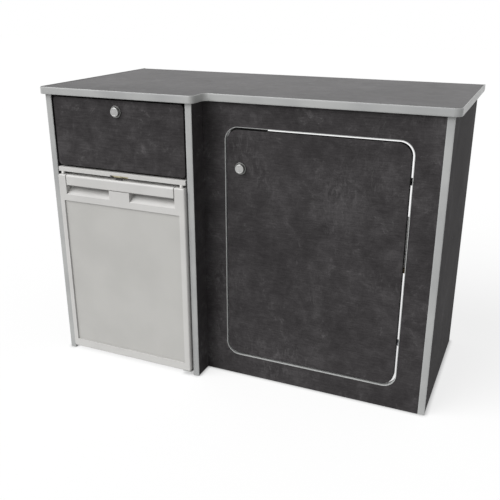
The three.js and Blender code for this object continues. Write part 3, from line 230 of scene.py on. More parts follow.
# Plated and drawn metals: a bright ground, clouded by handling, over fine finishing marks
def platedMetal(name, look):
    tone, shade, roughness, grainMm, cloudMm = look
    material, tree, shader, place = newMaterial(name, {"Metallic": 1.0})
    clouded = {"Vector": place, "Scale": 1000 / cloudMm, "Detail": 4, "Roughness": 0.6}
    clouds = addNode(tree, "TexNoise", clouded)
    colour = addNode(tree, "ValToRGB", (clouds,), [(0.34, shade), (0.6, tone)])
    gloss = addNode(tree, "MapRange", (clouds, 0.3, 0.7, roughness + 0.07, roughness - 0.04))
    marks = addNode(tree, "TexNoise", {"Vector": place, "Scale": 1000 / grainMm, "Detail": 2})
    bump = addNode(tree, "Bump", {"Height": marks, "Strength": 0.06, "Distance": 0.0002})
    setInputs(shader, {"Base Color": colour, "Roughness": gloss, "Normal": bump})
    return material


boardLook = {
    "melamine": {"ground": "#cbcbc9", "speck": "#bcbcba", "speckMm": 3.2, "roughness": 0.5},
    "birch": {"light": "#d3b98d", "dark": "#b89566", "ringMm": 34, "fibreMm": 1.2, "roughness": 0.55},
    "poplar": {"light": "#c9b18a", "dark": "#a98d63", "fibreMm": 1.4, "roughness": 0.75},
    "plyMm": 3.0,  # thickness of one layer of the laminated core
}


# Melamine-faced board, printed pearl grey and pressed with a fine pore
def melamineBoard(name, look):
    material, tree, shader, place = newMaterial(name, {"IOR": 1.5, "Roughness": look["roughness"]})
    pores = {"Vector": place, "Scale": 1000 / look["speckMm"], "Detail": 4, "Roughness": 0.7}
    specks = addNode(tree, "TexNoise", pores)
    colour = addNode(tree, "ValToRGB", (specks,), [(0.38, look["speck"]), (0.56, look["ground"])])
    bump = addNode(tree, "Bump", {"Height": specks, "Strength": 0.06, "Distance": 0.0003})
    setInputs(shader, {"Base Color": colour, "Normal": bump})
    return material


# Rotary-cut veneer: long flowing figure along one axis with fine fibres
def veneer(name, look, turn):
    material, tree, shader, place = newMaterial(name, {"IOR": 1.5, "Roughness": look["roughness"]})
    laid = addNode(tree, "Mapping", {"Vector": place, "Rotation": turn, "Scale": (1, 0.12, 1)})
    flowing = {"Scale": 1000 / look["ringMm"], "Detail": 4, "Roughness": 0.55, "Distortion": 0.9}
    figure = addNode(tree, "TexNoise", {"Vector": laid, **flowing})
    fine = {"Scale": 1000 / look["fibreMm"], "Detail": 3, "Roughness": 0.6}
    fibres = addNode(tree, "TexNoise", {"Vector": laid, **fine})
    both = addNode(tree, "Mix", {0: 0.3, 2: figure, 3: fibres}, data_type="FLOAT")
    colour = addNode(tree, "ValToRGB", (both,), [(0.36, look["dark"]), (0.6, look["light"])])
    bump = addNode(tree, "Bump", {"Height": fibres, "Strength": 0.15, "Distance": 0.0003})
    setInputs(shader, {"Base Color": colour, "Normal": bump})
    return material


# Sawn edge of plywood: layers across the board's thickness, every second one end grain and darker
def plywoodEdge(name, look, axis):
    material, tree, shader, place = newMaterial(name, {"IOR": 1.5, "Roughness": look["roughness"]})
    depth = addNode(tree, "SeparateXYZ", (place,)).outputs[axis]
    layers = addNode(tree, "Math", (depth, 1000 / boardLook["plyMm"]), operation="MULTIPLY")
    bands = addNode(tree, "Math", (layers, 1.0), operation="PINGPONG")
    fibres = addNode(tree, "TexNoise", {"Vector": place, "Scale": 1000 / look["fibreMm"], "Detail": 4})
    both = addNode(tree, "Mix", {0: 0.35, 2: bands, 3: fibres}, data_type="FLOAT")
    colour = addNode(tree, "ValToRGB", (both,), [(0.38, look["dark"]), (0.58, look["light"])])
    bump = addNode(tree, "Bump", {"Height": both, "Strength": 0.3, "Distance": 0.0004})
    setInputs(shader, {"Base Color": colour, "Normal": bump})
    return material


slatePanel = slateLaminate("slate laminate, matt pressed", slateLook["panel"], (0.3, 0.1, 0.0))
slateTop = slateLaminate("slate laminate, worktop grade", slateLook["top"], (1.7, 0.4, 0.2))
edgingPlastic = mouldedPlastic("grey edging, extruded PVC", plasticLook["edging"])
fridgePlastic = mouldedPlastic("fridge grey ABS, moulded", plasticLook["fridge"])
insertSheet = mouldedPlastic("door insert, embossed sheet", plasticLook["insert"])
linerPlastic = mouldedPlastic("white polystyrene, vacuum formed", plasticLook["liner"])
pinPlastic = mouldedPlastic("white nylon, moulded", plasticLook["pin"])
sealPlastic = mouldedPlastic("door seal, extruded soft PVC", plasticLook["seal"])
rubber = mouldedPlastic("black rubber, moulded", plasticLook["rubber"])
boxPlastic = mouldedPlastic("black polyamide, moulded", plasticLook["boxCover"])
doorEdgeShade = mouldedPlastic("door edges, painted black as shade", plasticLook["doorEdgeShade"])
cabinetSteel = mouldedPlastic("light grey sheet steel, powder coated", plasticLook["cabinet"])
blackPaint = mouldedPlastic("black sheet steel, dip painted", plasticLook["blackPaint"])
satinChrome = platedMetal("zinc casting, satin chromed", metalLook["satinChrome"])
zincAndPaintedShade = platedMetal("zinc casting, darkened as painted shade", metalLook["zincAndPaintedShade"])
zincSteel = platedMetal("sheet steel, zinc plated", metalLook["zinc"])
brassPlate = platedMetal("steel, brass plated", metalLook["brass"])
aluminium = platedMetal("aluminium sheet, satin anodised", metalLook["aluminium"])
copperTube = platedMetal("copper tube, drawn", metalLook["copper"])
paleBoard = melamineBoard("pearl grey melamine board, pressed", boardLook["melamine"])
birchPly = veneer("birch plywood, sanded", boardLook["birch"], (0, 0, 0))
birchSide = veneer("birch plywood, sanded, sides", boardLook["birch"], (math.radians(90), 0, 0))
plyAcross = plywoodEdge("poplar plywood edge, sawn, layers across x", boardLook["poplar"], 0)
plyDeep = plywoodEdge("poplar plywood edge, sawn, layers across y", boardLook["poplar"], 1)
plyTall = plywoodEdge("poplar plywood edge, sawn, layers across z", boardLook["poplar"], 2)
print("materials made")


# Modelling helpers: each one does what a hand does in the window


def onlyThis(piece):
    bpy.ops.object.select_all(action="DESELECT")
    piece.select_set(True)
    bpy.context.view_layer.objects.active = piece


def settle(name):
    piece = bpy.context.object
    piece.name = name
    piece.data.name = name
    bpy.ops.object.transform_apply(location=True, rotation=True, scale=True)
    return piece


def startBox(name, x, y, z):
    bpy.ops.object.select_all(action="DESELECT")
    middle = at(*[(low + high) / 2 for low, high in (x, y, z)])
    sizes = [(high - low) / 1000 for low, high in (x, y, z)]
    bpy.ops.mesh.primitive_cube_add(size=1, location=middle, scale=sizes)
    return settle(name)


def startPlane(name, x, y, z):
    bpy.ops.object.select_all(action="DESELECT")
    middle = at((x[0] + x[1]) / 2, (y[0] + y[1]) / 2, z)
    bpy.ops.mesh.primitive_plane_add(size=1, location=middle)
    bpy.ops.transform.resize(value=((x[1] - x[0]) / 1000, (y[1] - y[0]) / 1000, 1))
    return settle(name)


# A bar along x, y or z through the point (a, b) of the other two axes
def startRod(name, axis, radius, span, place, sides=32):
    bpy.ops.object.select_all(action="DESELECT")
    middle = (span[0] + span[1]) / 2
    a, b = place
    spots = {"x": (middle, a, b), "y": (a, middle, b), "z": (a, b, middle)}
    turns = {"x": (0, math.radians(90), 0), "y": (math.radians(-90), 0, 0), "z": (0, 0, 0)}
    bpy.ops.mesh.primitive_cylinder_add(
        vertices=sides,
        radius=radius / 1000,
        depth=(span[1] - span[0]) / 1000,
        location=at(*spots[axis]),
        rotation=turns[axis],
    )
    return settle(name)


def startEdit(piece):
    onlyThis(piece)
    bpy.ops.object.mode_set(mode="EDIT")


def endEdit():
    bpy.ops.object.mode_set(mode="OBJECT")


def pickAll():
    bpy.ops.mesh.select_all(action="SELECT")


def pick(kind, test):
    bpy.ops.mesh.select_mode(type=kind)
    bpy.ops.mesh.select_all(action="DESELECT")
    shape = bmesh.from_edit_mesh(bpy.context.edit_object.data)
    shape.normal_update()
    for part in {"VERT": shape.verts, "EDGE": shape.edges, "FACE": shape.faces}[kind]:
        part.select_set(bool(test(part)))
    shape.select_flush_mode()
    bmesh.update_edit_mesh(bpy.context.edit_object.data)


def runsAlong(edge, axis):
    reach = edge.verts[1].co - edge.verts[0].co
    return abs(reach["xyz".index(axis)]) > 0.999 * reach.length


# True where a corner, or every corner of an edge or face, lies at this millimetre of an axis
def liesAt(part, axis, value):
    place = "xyz".index(axis)
    corners = getattr(part, "verts", [part])
    return all(abs(mm(corner.co)[place] - value) < 0.05 for corner in corners)


def move(x, y, z):
    bpy.ops.transform.translate(value=(x / 1000, y / 1000, z / 1000))


def resize(shares, about):
    bpy.ops.transform.resize(value=shares, center_override=at(*about))


def turnPicked(degrees, axis, about):
    bpy.ops.transform.rotate(
        value=math.radians(degrees),
        orient_axis=axis,
        constraint_axis=[axis == name for name in "XYZ"],
        center_override=at(*about),
    )


def bevel(width, segments, affect="EDGES"):
    bpy.ops.mesh.bevel(
        offset=width / 1000,
        offset_type="OFFSET",
        segments=segments,
        profile=0.5,
        affect=affect,
        clamp_overlap=False,
    )


# Bevels the edges, or the rims of the faces, that pass a test
def bevelWhere(piece, kind, test, width, segments):
    startEdit(piece)
    pick(kind, test)
    bevel(width, segments)
    endEdit()
    return piece


def roundCorners(piece, axis, radius, segments):
    return bevelWhere(piece, "EDGE", lambda e: runsAlong(e, axis), radius, segments)


# Splits the faces of the whole piece where they cross this millimetre of an axis
def splitAt(axis, value):
    pickAll()
    way = [int(axis == name) for name in "xyz"]
    bpy.ops.mesh.bisect(plane_co=at(*[value * part for part in way]), plane_no=way)


def extrude(x, y, z):
    way = {"value": (x / 1000, y / 1000, z / 1000)}
    bpy.ops.mesh.extrude_region_move(TRANSFORM_OT_translate=way)


def combine(piece, tools, operation):
    for tool in tools:
        onlyThis(piece)
        modifier = piece.modifiers.new("combine", "BOOLEAN")
        modifier.operation = operation
        modifier.solver = "EXACT"
        modifier.object = tool
        bpy.ops.object.modifier_apply(modifier=modifier.name)
        onlyThis(tool)
        bpy.ops.object.delete()
    return piece


def cutBy(piece, *tools):
    return combine(piece, tools, "DIFFERENCE")


def fuse(piece, *tools):
    return combine(piece, tools, "UNION")


def joinTo(piece, *others):
    onlyThis(piece)
    for other in others:
        other.select_set(True)
    bpy.ops.object.join()
    return piece


def copyPiece(piece, name, shift, turn=None):
    onlyThis(piece)
    bpy.ops.object.duplicate()
    made = bpy.context.object
    made.name = name
    made.data.name = name
    startEdit(made)
    pickAll()
    if turn:
        turnPicked(*turn, (0, 0, 0))
    move(*shift)
    endEdit()
    return made


# Small edge rounds all over, then normals that keep the flats flat
def soften(piece, width, segments=2):
    onlyThis(piece)
    if width:
        modifier = piece.modifiers.new("soft edges", "BEVEL")
        modifier.width = width / 1000
        modifier.segments = segments
        modifier.limit_method = "ANGLE"
        modifier.angle_limit = math.radians(38)
        modifier.use_clamp_overlap = True
        bpy.ops.object.modifier_apply(modifier=modifier.name)
    bpy.ops.object.shade_smooth_by_angle(angle=math.radians(46))
    modifier = piece.modifiers.new("flat flats", "WEIGHTED_NORMAL")
    modifier.keep_sharp = True
    modifier.weight = 60
    bpy.ops.object.modifier_apply(modifier=modifier.name)
    return piece


# Gives a finished piece its materials and body, and hides the nodes it stands for
def dress(piece, body, slotName, materials, *nodes, where=lambda face: 0):
    piece.data.materials.clear()
    for material in materials:
        piece.data.materials.append(material)
    for face in piece.data.polygons:
        face.material_index = where(face)
    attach(piece, body)
    if nodes:
        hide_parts(*nodes)


# The second material goes on the faces that look along these axes
def rawEdge(axes):
    return lambda face: int(any(abs(face.normal["xyz".index(axis)]) > 0.9 for axis in axes))


# Draws the selected face along a path: ("go", x, y, z), or ("turn", centre, axis, degrees, steps).
# Spin turns against the right-hand rule, so its angle changes sign.
def drawAlong(*path):
    for kind, *step in path:
        if kind == "go":
            extrude(*step)
        else:
            centre, axis, degrees, steps = step
            turn = {"angle": -math.radians(degrees), "center": at(*centre), "axis": axis}
            bpy.ops.mesh.spin(steps=steps, **turn, use_auto_merge=False)


def mendMesh():
    pickAll()
    bpy.ops.mesh.remove_doubles(threshold=0.00001)
    pickAll()
    bpy.ops.mesh.normals_make_consistent(inside=False)


def endSweep(piece):
    mendMesh()
    endEdit()
    return soften(piece, 0)


# Worktop

worktop = {
    "left": -13,
    "right": 1024,
    "rear": 498,
    "front": -8,
    "stepFront": 50,
    "stepX": 430,
    "leftCorner": 11,
    "stepCorner": 13,
    "rightCorner": 18,
    "bottom": 728,
    "thickness": 16,
    "edgeInset": 1.5,
    "softEdge": 0.4,
    "trimOver": 1,  # how far the trim stands over the board, above and below
}


def makeWorktopBoard():
    size = worktop
    inset = size["edgeInset"]
    left, right = size["left"] + inset, size["right"] - inset
    stepX, front, stepFront = size["stepX"] - inset, size["front"] + inset, size["stepFront"] + inset
    board = startPlane("worktop_board", (left, right), (stepFront, size["rear"]), size["bottom"])
    startEdit(board)
    splitAt("x", stepX)
    isLeft = lambda edge: all(mm(corner.co)[0] < stepX + 1 for corner in edge.verts)
    pick("EDGE", lambda e: liesAt(e, "y", stepFront) and isLeft(e))
    extrude(0, front - stepFront, 0)
    pickAll()
    bpy.ops.mesh.dissolve_limited(angle_limit=math.radians(1))
    rounds = [
        (left, front, size["leftCorner"] - inset),
        (stepX, front, size["stepCorner"] - inset),
        (stepX, stepFront, size["stepCorner"] + inset),
        (right, stepFront, size["rightCorner"] - inset),
    ]
    for x, y, radius in rounds:
        pick("VERT", lambda v: liesAt(v, "x", x) and liesAt(v, "y", y))
        bevel(radius, 12, affect="VERTICES")
    pick("FACE", lambda f: True)
    extrude(0, 0, size["thickness"])
    mendMesh()
    endEdit()
    soften(board, size["softEdge"])
    dress(board, "carcass", "worktop_laminate", [slateTop], "worktop_panel")


edgeTrim = {
    "width": 17,
    "depth": 2,  # front of the curved face to the end of its lips
    "roundAcross": 4.2,  # the face rounds off over this width at each edge
    "roundDeep": 1.0,
    "roundSteps": 7,
}


# The section of the edge trim, a flat face on the plane where the sweep starts. It is drawn
# stretched, rounded with a plain bevel, and squeezed back, so its rounds are elliptical.
def startTrimSection(name, width, turns, place):
    size = edgeTrim
    stretch = size["roundAcross"] / size["roundDeep"]
    section = startPlane(name, (0, width), (0, size["depth"] * stretch), 0)
    startEdit(section)
    pick("VERT", lambda v: liesAt(v, "y", 0))
    bevel(size["roundAcross"], size["roundSteps"], affect="VERTICES")
    pickAll()
    resize((1, 1 / stretch, 1), (0, 0, 0))
    placeSection(turns, place)
    return section


def placeSection(turns, place):
    pickAll()
    for degrees, axis in turns:
        turnPicked(degrees, axis, (0, 0, 0))
    move(*place)


def makeWorktopTrim():
    size = worktop
    left, right, front, stepFront = size["left"], size["right"], size["front"], size["stepFront"]
    corner, step, end = size["leftCorner"], size["stepCorner"], size["rightCorner"]
    stepX, rear, over = size["stepX"], size["rear"], size["trimOver"]
    turns, place = [(-90, "Y"), (-90, "Z")], (left, rear, size["bottom"] - over)
    trim = startTrimSection("worktop_trim_strip", size["thickness"] + 2 * over, turns, place)
    up = (0, 0, 1)
    drawAlong(
        ("go", 0, front + corner - rear, 0),
        ("turn", (left + corner, front + corner, 0), up, 90, 10),
        ("go", stepX - step - left - corner, 0, 0),
        ("turn", (stepX - step, front + step, 0), up, 90, 10),
        ("go", 0, stepFront - step - front - step, 0),
        ("turn", (stepX + step, stepFront - step, 0), up, -90, 10),
        ("go", right - end - stepX - step, 0, 0),
        ("turn", (right - end, stepFront + end, 0), up, 90, 14),
        ("go", 0, rear - stepFront - end, 0),
    )
    endSweep(trim)
    dress(trim, "carcass", "edge_trim", [edgingPlastic], "worktop_edge_trim")


makeWorktopBoard()
makeWorktopTrim()
print("worktop made")

# Uprights, front board and the fixed inside boards

carcass = {
    "depth": 479,
    "boardTop": 727.7,
    "board": 15,
    "boardInset": 1.5,
    "uprights": {"left_end": (0, 0), "mid": (404.5, 0), "right_end": (994, 58)},  # x and front
    "railNotch": ((400, 426), (463.7, 484), (646.7, 732)),  # in the mid upright
    "boltSlot": ((202.15, 219.35), (19.7, 26.9), (700, 713)),  # in the rail over the drawer
    "softEdge": 0.35,
}


def makeUprights():
    size, width = carcass, edgeTrim["width"]
    strips = {}
    for name, (x, front) in size["uprights"].items():
        if strips:
            strips[name] = copyPiece(strips["left_end"], name + "_trim_strip", (x, front, 0))
        else:
            strips[name] = startTrimSection(name + "_trim_strip", width, [], (x, front, 0))
            drawAlong(("go", 0, 0, size["boardTop"]))
            endSweep(strips[name])
    for name, strip in strips.items():
        dress(strip, "carcass", "edge_trim", [edgingPlastic], name + "_upright_trim")
    lip = (width - size["board"]) / 2
    for name, (x, front) in size["uprights"].items():
        left, front = x + lip, front + size["boardInset"]
        spans = ((left, left + size["board"]), (front, size["depth"]), (0, size["boardTop"]))
        board = startBox(name + "_board", *spans)
        if name == "mid":
            cutBy(board, startBox("rail notch", *size["railNotch"]))
        soften(board, size["softEdge"])
        materials = [slatePanel, plyAcross]
        dress(board, "carcass", "slate_laminate", materials, name + "_panel", where=rawEdge("yz"))


opening = {
    "x": (482, 933.5),
    "z": (60, 668),
    "corner": 33,
    "liningFront": 57,
    "boardX": (420.8, 993.7),
    "boardY": (58, 73),
    "cutY": (50, 80),
    "boardInset": 1.5,
}


def makeFrontBoard():
    size, grown = opening, opening["boardInset"]
    board = startBox("cupboard_front_board", size["boardX"], size["boardY"], (0, carcass["boardTop"]))
    (left, right), (bottom, top) = size["x"], size["z"]
    spans = ((left - grown, right + grown), size["cutY"], (bottom - grown, top + grown))
    cutBy(board, roundCorners(startBox("door hole", *spans), "y", size["corner"] + grown, 14))
    soften(board, 0)
    dress(board, "carcass", "slate_laminate", [slatePanel, plyDeep], "front_panel", where=rawEdge("z"))


# The lining of the door's opening starts and ends at the middle of its lower side
def makeOpeningTrim():
    (left, right), (bottom, top), corner = opening["x"], opening["z"], opening["corner"]
    start = (left + right) / 2
    turns, place = [(90, "Z"), (-90, "Y")], (start, opening["liningFront"], bottom)
    trim = startTrimSection("door_opening_strip", edgeTrim["width"], turns, place)
    wide, high = right - left - 2 * corner, top - bottom - 2 * corner
    turn = ((0, -1, 0), 90, 14)
    drawAlong(
        ("go", right - corner - start, 0, 0),
        ("turn", (right - corner, 0, bottom + corner), *turn),
        ("go", 0, 0, high),
        ("turn", (right - corner, 0, top - corner), *turn),
        ("go", -wide, 0, 0),
        ("turn", (left + corner, 0, top - corner), *turn),
        ("go", 0, 0, -high),
        ("turn", (left + corner, 0, bottom + corner), *turn),
        ("go", start - left - corner, 0, 0),
    )
    mendMesh()
    pick("FACE", lambda f: liesAt(f, "x", start))
    bpy.ops.mesh.delete(type="ONLY_FACE")
    endEdit()
    soften(trim, 0)
    dress(trim, "carcass", "edge_trim", [edgingPlastic], "door_opening_trim")


insideBoards = {
    # node: x, y, z, the axis its sawn core faces, the core's material
    "shelf": ((420.8, 994.7), (85.5, 479), (352, 367), "y", plyTall),
    "shelf_cleat_left": ((420.8, 438.8), (97.5, 467), (331.7, 351.7), "y", plyAcross),
    "shelf_cleat_right": ((976.7, 994.7), (97.5, 467), (331.7, 351.7), "y", plyAcross),
    "rear_top_rail": ((16.3, 994.7), (464, 479), (647, 727.7), "z", plyDeep),
    "fridge_deck": ((16.3, 405.2), (40, 479), (0, 12), "y", plyTall),
    "drawer_lock_rail": ((16.3, 405.2), (18, 58), (707, 727.7), "y", slatePanel),
}


def makeInsideBoards():
    for node, (x, y, z, axis, core) in insideBoards.items():
        board = startBox(node + "_board", x, y, z)
        if node == "drawer_lock_rail":
            cutBy(board, startBox("bolt slot", *carcass["boltSlot"]))
        soften(board, carcass["softEdge"])
        isDeck = node == "fridge_deck"
        slotName, face = ("plywood", birchPly) if isDeck else ("pale_board", paleBoard)
        dress(board, "carcass", slotName, [face, core], node, where=rawEdge(axis))


makeUprights()
makeFrontBoard()
makeOpeningTrim()
makeInsideBoards()
print("carcass made")

# Screws: one pan head with a cross recess, copied to each place

screw = {
    "head": 3.4,
    "height": 1.5,
    "round": 0.9,
    "recess": 0.9,
    "recessHalf": 0.4,
    "recessReach": 1.9,
}


def makeScrew():
    size = screw
    head = startRod("screw", "y", size["head"], (-size["height"], 0), (0, 0), 24)
    bevelWhere(head, "FACE", lambda f: f.normal.y < -0.9, size["round"], 4)
    half, reach, floor = size["recessHalf"], size["recessReach"], size["recess"] - size["height"]
    for wide, high in ((reach, half), (half, reach)):
        cutBy(head, startBox("recess", (-wide, wide), (-3, floor), (-high, high)))
    return soften(head, 0)


# A screw's head faces -y as modelled; turned about z it faces +y, about x it faces -z
def setScrews(name, body, places, turn):
    heads = [copyPiece(screwModel, name, place, turn) for place in places]
    joinTo(*heads)
    heads[0].name = name
    dress(heads[0], body, "zinc_plated_steel", [zincSteel])


screwModel = makeScrew()

# Drawer

drawer = {
    "front": {"x": (22.1, 399.4), "y": (2, 17), "z": (545.5, 722), "corner": 9, "edge": 0.8},
    "lock": (210.75, 694),
    "lockBore": 13.3,
    "boards": {
        # node: x, y, z, face, the core's material, the axes it faces
        "drawer_side_left": ((28.7, 40.7), (17.3, 427.3), (561.5, 669.5), birchSide, plyAcross, "yz"),
        "drawer_side_right": ((380.8, 392.8), (17.3, 427.3), (561.5, 669.5), birchSide, plyAcross, "yz"),
        "drawer_back": ((41, 380.5), (415.3, 427.3), (574.8, 669.5), birchSide, plyDeep, "xz"),
        "drawer_bottom": ((35.7, 385.8), (17.3, 427.3), (569.5, 574.5), birchPly, plyTall, "y"),
    },
    "floorGroove": ((35.4, 386.1), (10, 435), (569.2, 574.8)),
    "softEdge": 0.4,
}


# A front with round corners and a round along its front edge
def makeFacePanel(name, size):
    panel = roundCorners(startBox(name, size["x"], size["y"], size["z"]), "y", size["corner"], 14)
    return bevelWhere(panel, "EDGE", lambda e: liesAt(e, "y", size["y"][0]), size["edge"], 3)


def makeDrawer():
    size = drawer
    front = makeFacePanel("drawer_front_board", size["front"])
    cutBy(front, startRod("lock bore", "y", size["lockBore"], (-5, 25), size["lock"], 48))
    soften(front, 0)
    dress(front, "drawer", "slate_laminate", [slatePanel], "drawer_front")
    for node, (x, y, z, face, core, axes) in size["boards"].items():
        board = startBox(node + "_board", x, y, z)
        if node.startswith("drawer_side"):
            cutBy(board, startBox("floor groove", *size["floorGroove"]))
        soften(board, size["softEdge"])
        dress(board, "drawer", "plywood", [face, core], node, where=rawEdge(axes))


makeDrawer()
print("drawer made")

# Cupboard door

cupboardDoor = {
    "x": (484.6, 928.2),  # light shows through the gap at its right and over its top
    "y": (58, 73),
    "z": (64, 663),
    "corner": 31,
    "edge": 1,
    "lock": (521, 569.5),
    "hinges": {"upper": 573.0, "lower": 169.0},
    "cupX": 903,
    "cupRadius": 17.5,
    "cupFloor": 60.6,
}


def makeCupboardDoor():
    size, (cutFrom, cutTo) = cupboardDoor, opening["cutY"]
    door = makeFacePanel("cupboard_door_board", size)
    cutBy(door, startRod("lock bore", "y", drawer["lockBore"], (cutFrom, cutTo), size["lock"], 48))
    for z in size["hinges"].values():
        bore = ("cup bore", "y", size["cupRadius"], (size["cupFloor"], cutTo), (size["cupX"], z), 48)
        cutBy(door, startRod(*bore))
    soften(door, 0)
    # The door's edges get a painted black that stands in for the shade in the gap round the door
    isShadedEdge = lambda face: int(abs(face.normal.y) < 0.2)
    materials = [slatePanel, doorEdgeShade]
    dress(door, "cupboard_door", "slate_laminate", materials, "cupboard_door_panel", where=isShadedEdge)


makeCupboardDoor()

# Push locks: a rosette with a popped-out knob, and the case behind the panel. Modelled at the
# drawer, then copied to the door with the case turned so that its bolt points left.

pushLock = {
    "rosette": 15,
    "rosetteDepth": 2.5,
    "rosetteEdge": 0.8,
    "gap": 0.3,
    "knob": 11.25,
    "knobBore": 11.65,
    "knobProud": 9,
    "knobBack": 5,
    "knobEdge": 1.3,
    "knobRim": 3.2,
    "dish": 0.35,
    "dishEdge": 0.3,
    "stem": 4,
    "stemFrom": 4.9,
    "stemTo": 17,
    "barrel": 13,
    "caseY": (15.3, 29.3),  # behind the panel's front
    "caseHalf": 19,
    "caseCorner": 3,
    "drawerCase": (-20, 9.7),  # ends of the case, from the knob's middle
    "doorCase": (-24, 35),
    "stemBore": 4.6,
    "stemBoreY": (10, 24.4),
    "boltHalf": 8.3,
    "boltY": (18, 24.6),
    "endWall": 4.7,
}


def makeRosette(name, x, face, z):
    size = pushLock
    front, gap = face - size["rosetteDepth"], size["gap"]
    disc = startRod(name, "y", size["rosette"], (front, face - gap), (x, z), 72)
    proud = size["knobProud"]
    cutBy(disc, startRod("knob bore", "y", size["knobBore"], (face - proud, face + proud), (x, z), 72))
    bevelWhere(disc, "EDGE", lambda e: liesAt(e, "y", front), size["rosetteEdge"], 4)
    return soften(disc, 0)


def outFrom(part, x, z):
    total = [sum(mm(corner.co)[axis] for corner in part.verts) for axis in (0, 2)]
    return math.hypot(total[0] / len(part.verts) - x, total[1] / len(part.verts) - z)


def makeKnob(name, x, face, z):
    size = pushLock
    front = face - size["knobProud"]
    knob = startRod(name, "y", size["knob"], (front, face + size["knobBack"]), (x, z), 72)
    startEdit(knob)
    pick("FACE", lambda f: f.normal.y < -0.9)
    bpy.ops.mesh.inset(thickness=size["knobRim"] / 1000)
    extrude(0, size["dish"], 0)
    pick("EDGE", lambda e: liesAt(e, "y", front) and outFrom(e, x, z) > size["knob"] - 0.5)
    bevel(size["knobEdge"], 5)
    pick("EDGE", lambda e: liesAt(e, "y", front) and outFrom(e, x, z) < size["knob"] - 3)
    bevel(size["dishEdge"], 2)
    endEdit()
    soften(knob, 0)
    span = (face + size["stemFrom"], face + size["stemTo"])
    return joinTo(knob, soften(startRod("stem", "y", size["stem"], span, (x, z), 24), 0.3))


def makeCase(name, x, face, z, ends):
    size = pushLock
    half, bolt, gap, (low, high) = size["caseHalf"], size["boltHalf"], size["gap"], ends
    keys = ("caseY", "stemBoreY", "boltY")
    caseY, stemY, boltY = [tuple(face + value for value in size[key]) for key in keys]
    case = startBox(name, (x - half, x + half), caseY, (z + low, z + high))
    roundCorners(case, "y", size["caseCorner"], 5)
    cutBy(case, startRod("stem bore", "y", size["stemBore"], stemY, (x, z)))
    wayZ = (z + low + size["endWall"], z + high + 5)
    cutBy(case, startBox("bolt way", (x - bolt, x + bolt), boltY, wayZ))
    soften(case, 0.6)
    barrel = startRod("barrel", "y", size["barrel"], (face - gap, caseY[0] + gap), (x, z), 48)
    boreY = (face - size["knobProud"], caseY[0] + 0.1)
    cutBy(barrel, startRod("knob bore", "y", size["knobBore"], boreY, (x, z), 48))
    return joinTo(case, soften(barrel, 0))


def makeLocks():
    (x, z), face = drawer["lock"], drawer["front"]["y"][0]
    (doorX, doorZ), doorFace = cupboardDoor["lock"], cupboardDoor["y"][0]
    shift = (doorX - x, doorFace - face, doorZ - z)
    rosette = makeRosette("drawer_lock_rosette", x, face, z)
    knob = makeKnob("drawer_lock_knob", x, face, z)
    doorRosette = copyPiece(rosette, "door_lock_rosette", shift)
    doorKnob = copyPiece(knob, "door_lock_knob", shift)
    case = makeCase("drawer_lock_case", x, face, z, pushLock["drawerCase"])
    doorCase = makeCase("door_lock_case", doorX, doorFace, doorZ, pushLock["doorCase"])
    startEdit(doorCase)
    pickAll()
    turnPicked(-90, "Y", (doorX, doorFace, doorZ))
    endEdit()
    # The rosettes' dark zinc is partly the casting's own grey and partly painted shade and reflection
    # round the knobs
    finished = [
        (rosette, "drawer", zincAndPaintedShade),
        (case, "drawer", zincAndPaintedShade, "drawer_lock_housing"),
        (knob, "drawer_lock_button", satinChrome, "drawer_lock_button"),
        (doorRosette, "cupboard_door", zincAndPaintedShade),
        (doorCase, "cupboard_door", zincAndPaintedShade, "door_lock_housing"),
        (doorKnob, "door_lock_button", satinChrome, "door_lock_button"),
    ]
    for piece, body, material, *nodes in finished:
        dress(piece, body, "satin_chrome", [material], *nodes)


makeLocks()
print("door and locks made")

# Lock keeps: the door's plate with its screws, and the screws of the drawer's CAD keep

keep = {
    "x": (455.3, 479.3),
    "y": (73.3, 74.8),
    "z": (552.5, 586.5),
    "corner": 3,
    "screws": (558.5, 580.5),
    "drawerScrews": (12.5, 36, 705.2),  # out from the lock's middle, y and z
}


def makeKeeps():
    plate = startBox("door_keep_plate", keep["x"], keep["y"], keep["z"])
    soften(roundCorners(plate, "y", keep["corner"], 5), 0.25)
    dress(plate, "carcass", "zinc_plated_steel", [zincSteel], "door_lock_keep")
    places = [(sum(keep["x"]) / 2, keep["y"][1], z) for z in keep["screws"]]
    setScrews("door_keep_screws", "carcass", places, (180, "Z"))
    side, y, z = keep["drawerScrews"]
    places = [(drawer["lock"][0] + out, y, z) for out in (-side, side)]
    setScrews("drawer_keep_screws", "carcass", places, (90, "X"))


# Concealed hinges: a cup set in the door and an arm on its plate, modelled at the upper hinge and
# copied to the lower one. The swan-neck links between them stay as they are in the CAD model.

hinge = {
    "back": 73.3,
    "flange": (883, 923),
    "flangeHalf": 26,
    "flangeCorner": 8,
    "flangeSheet": 1.5,
    "cup": 17.2,
    "cupFrom": 60.9,
    "pocketX": (889.5, 916.5),
    "pocketY": (61.8, 80),
    "pocketHalf": 9.3,
    "cupScrews": 21.5,
    "doorPins": ((905, 65, 1.3, 1), (899, 65, 1.0, -1)),  # x, y, radius, above or below the middle
    "framePins": ((940, 82, 1.3, 1), (935, 80, 1.3, -1)),
    "plate": (943, 987),
    "plateHalf": 17,
    "plateSheet": 2,
    "plateCorner": 4,
    "plateScrews": (978, 9),
    "arm": (943, 966),
    "armBack": 88,
    "armHalf": 10.5,
    "adjusterX": 954,
    "cheeks": (930, 943.3),
    "cheekFrom": 77,
    "cheekRound": 4.5,
    "linkRoom": 9,
}


def makePins(name, pins, z, reach):
    rods = []
    for x, y, radius, side in pins:
        span = (z + 0.3, z + reach) if side > 0 else (z - reach, z - 0.3)
        rods.append(soften(startRod(name, "z", radius, span, (x, y), 20), 0.2))
    return rods


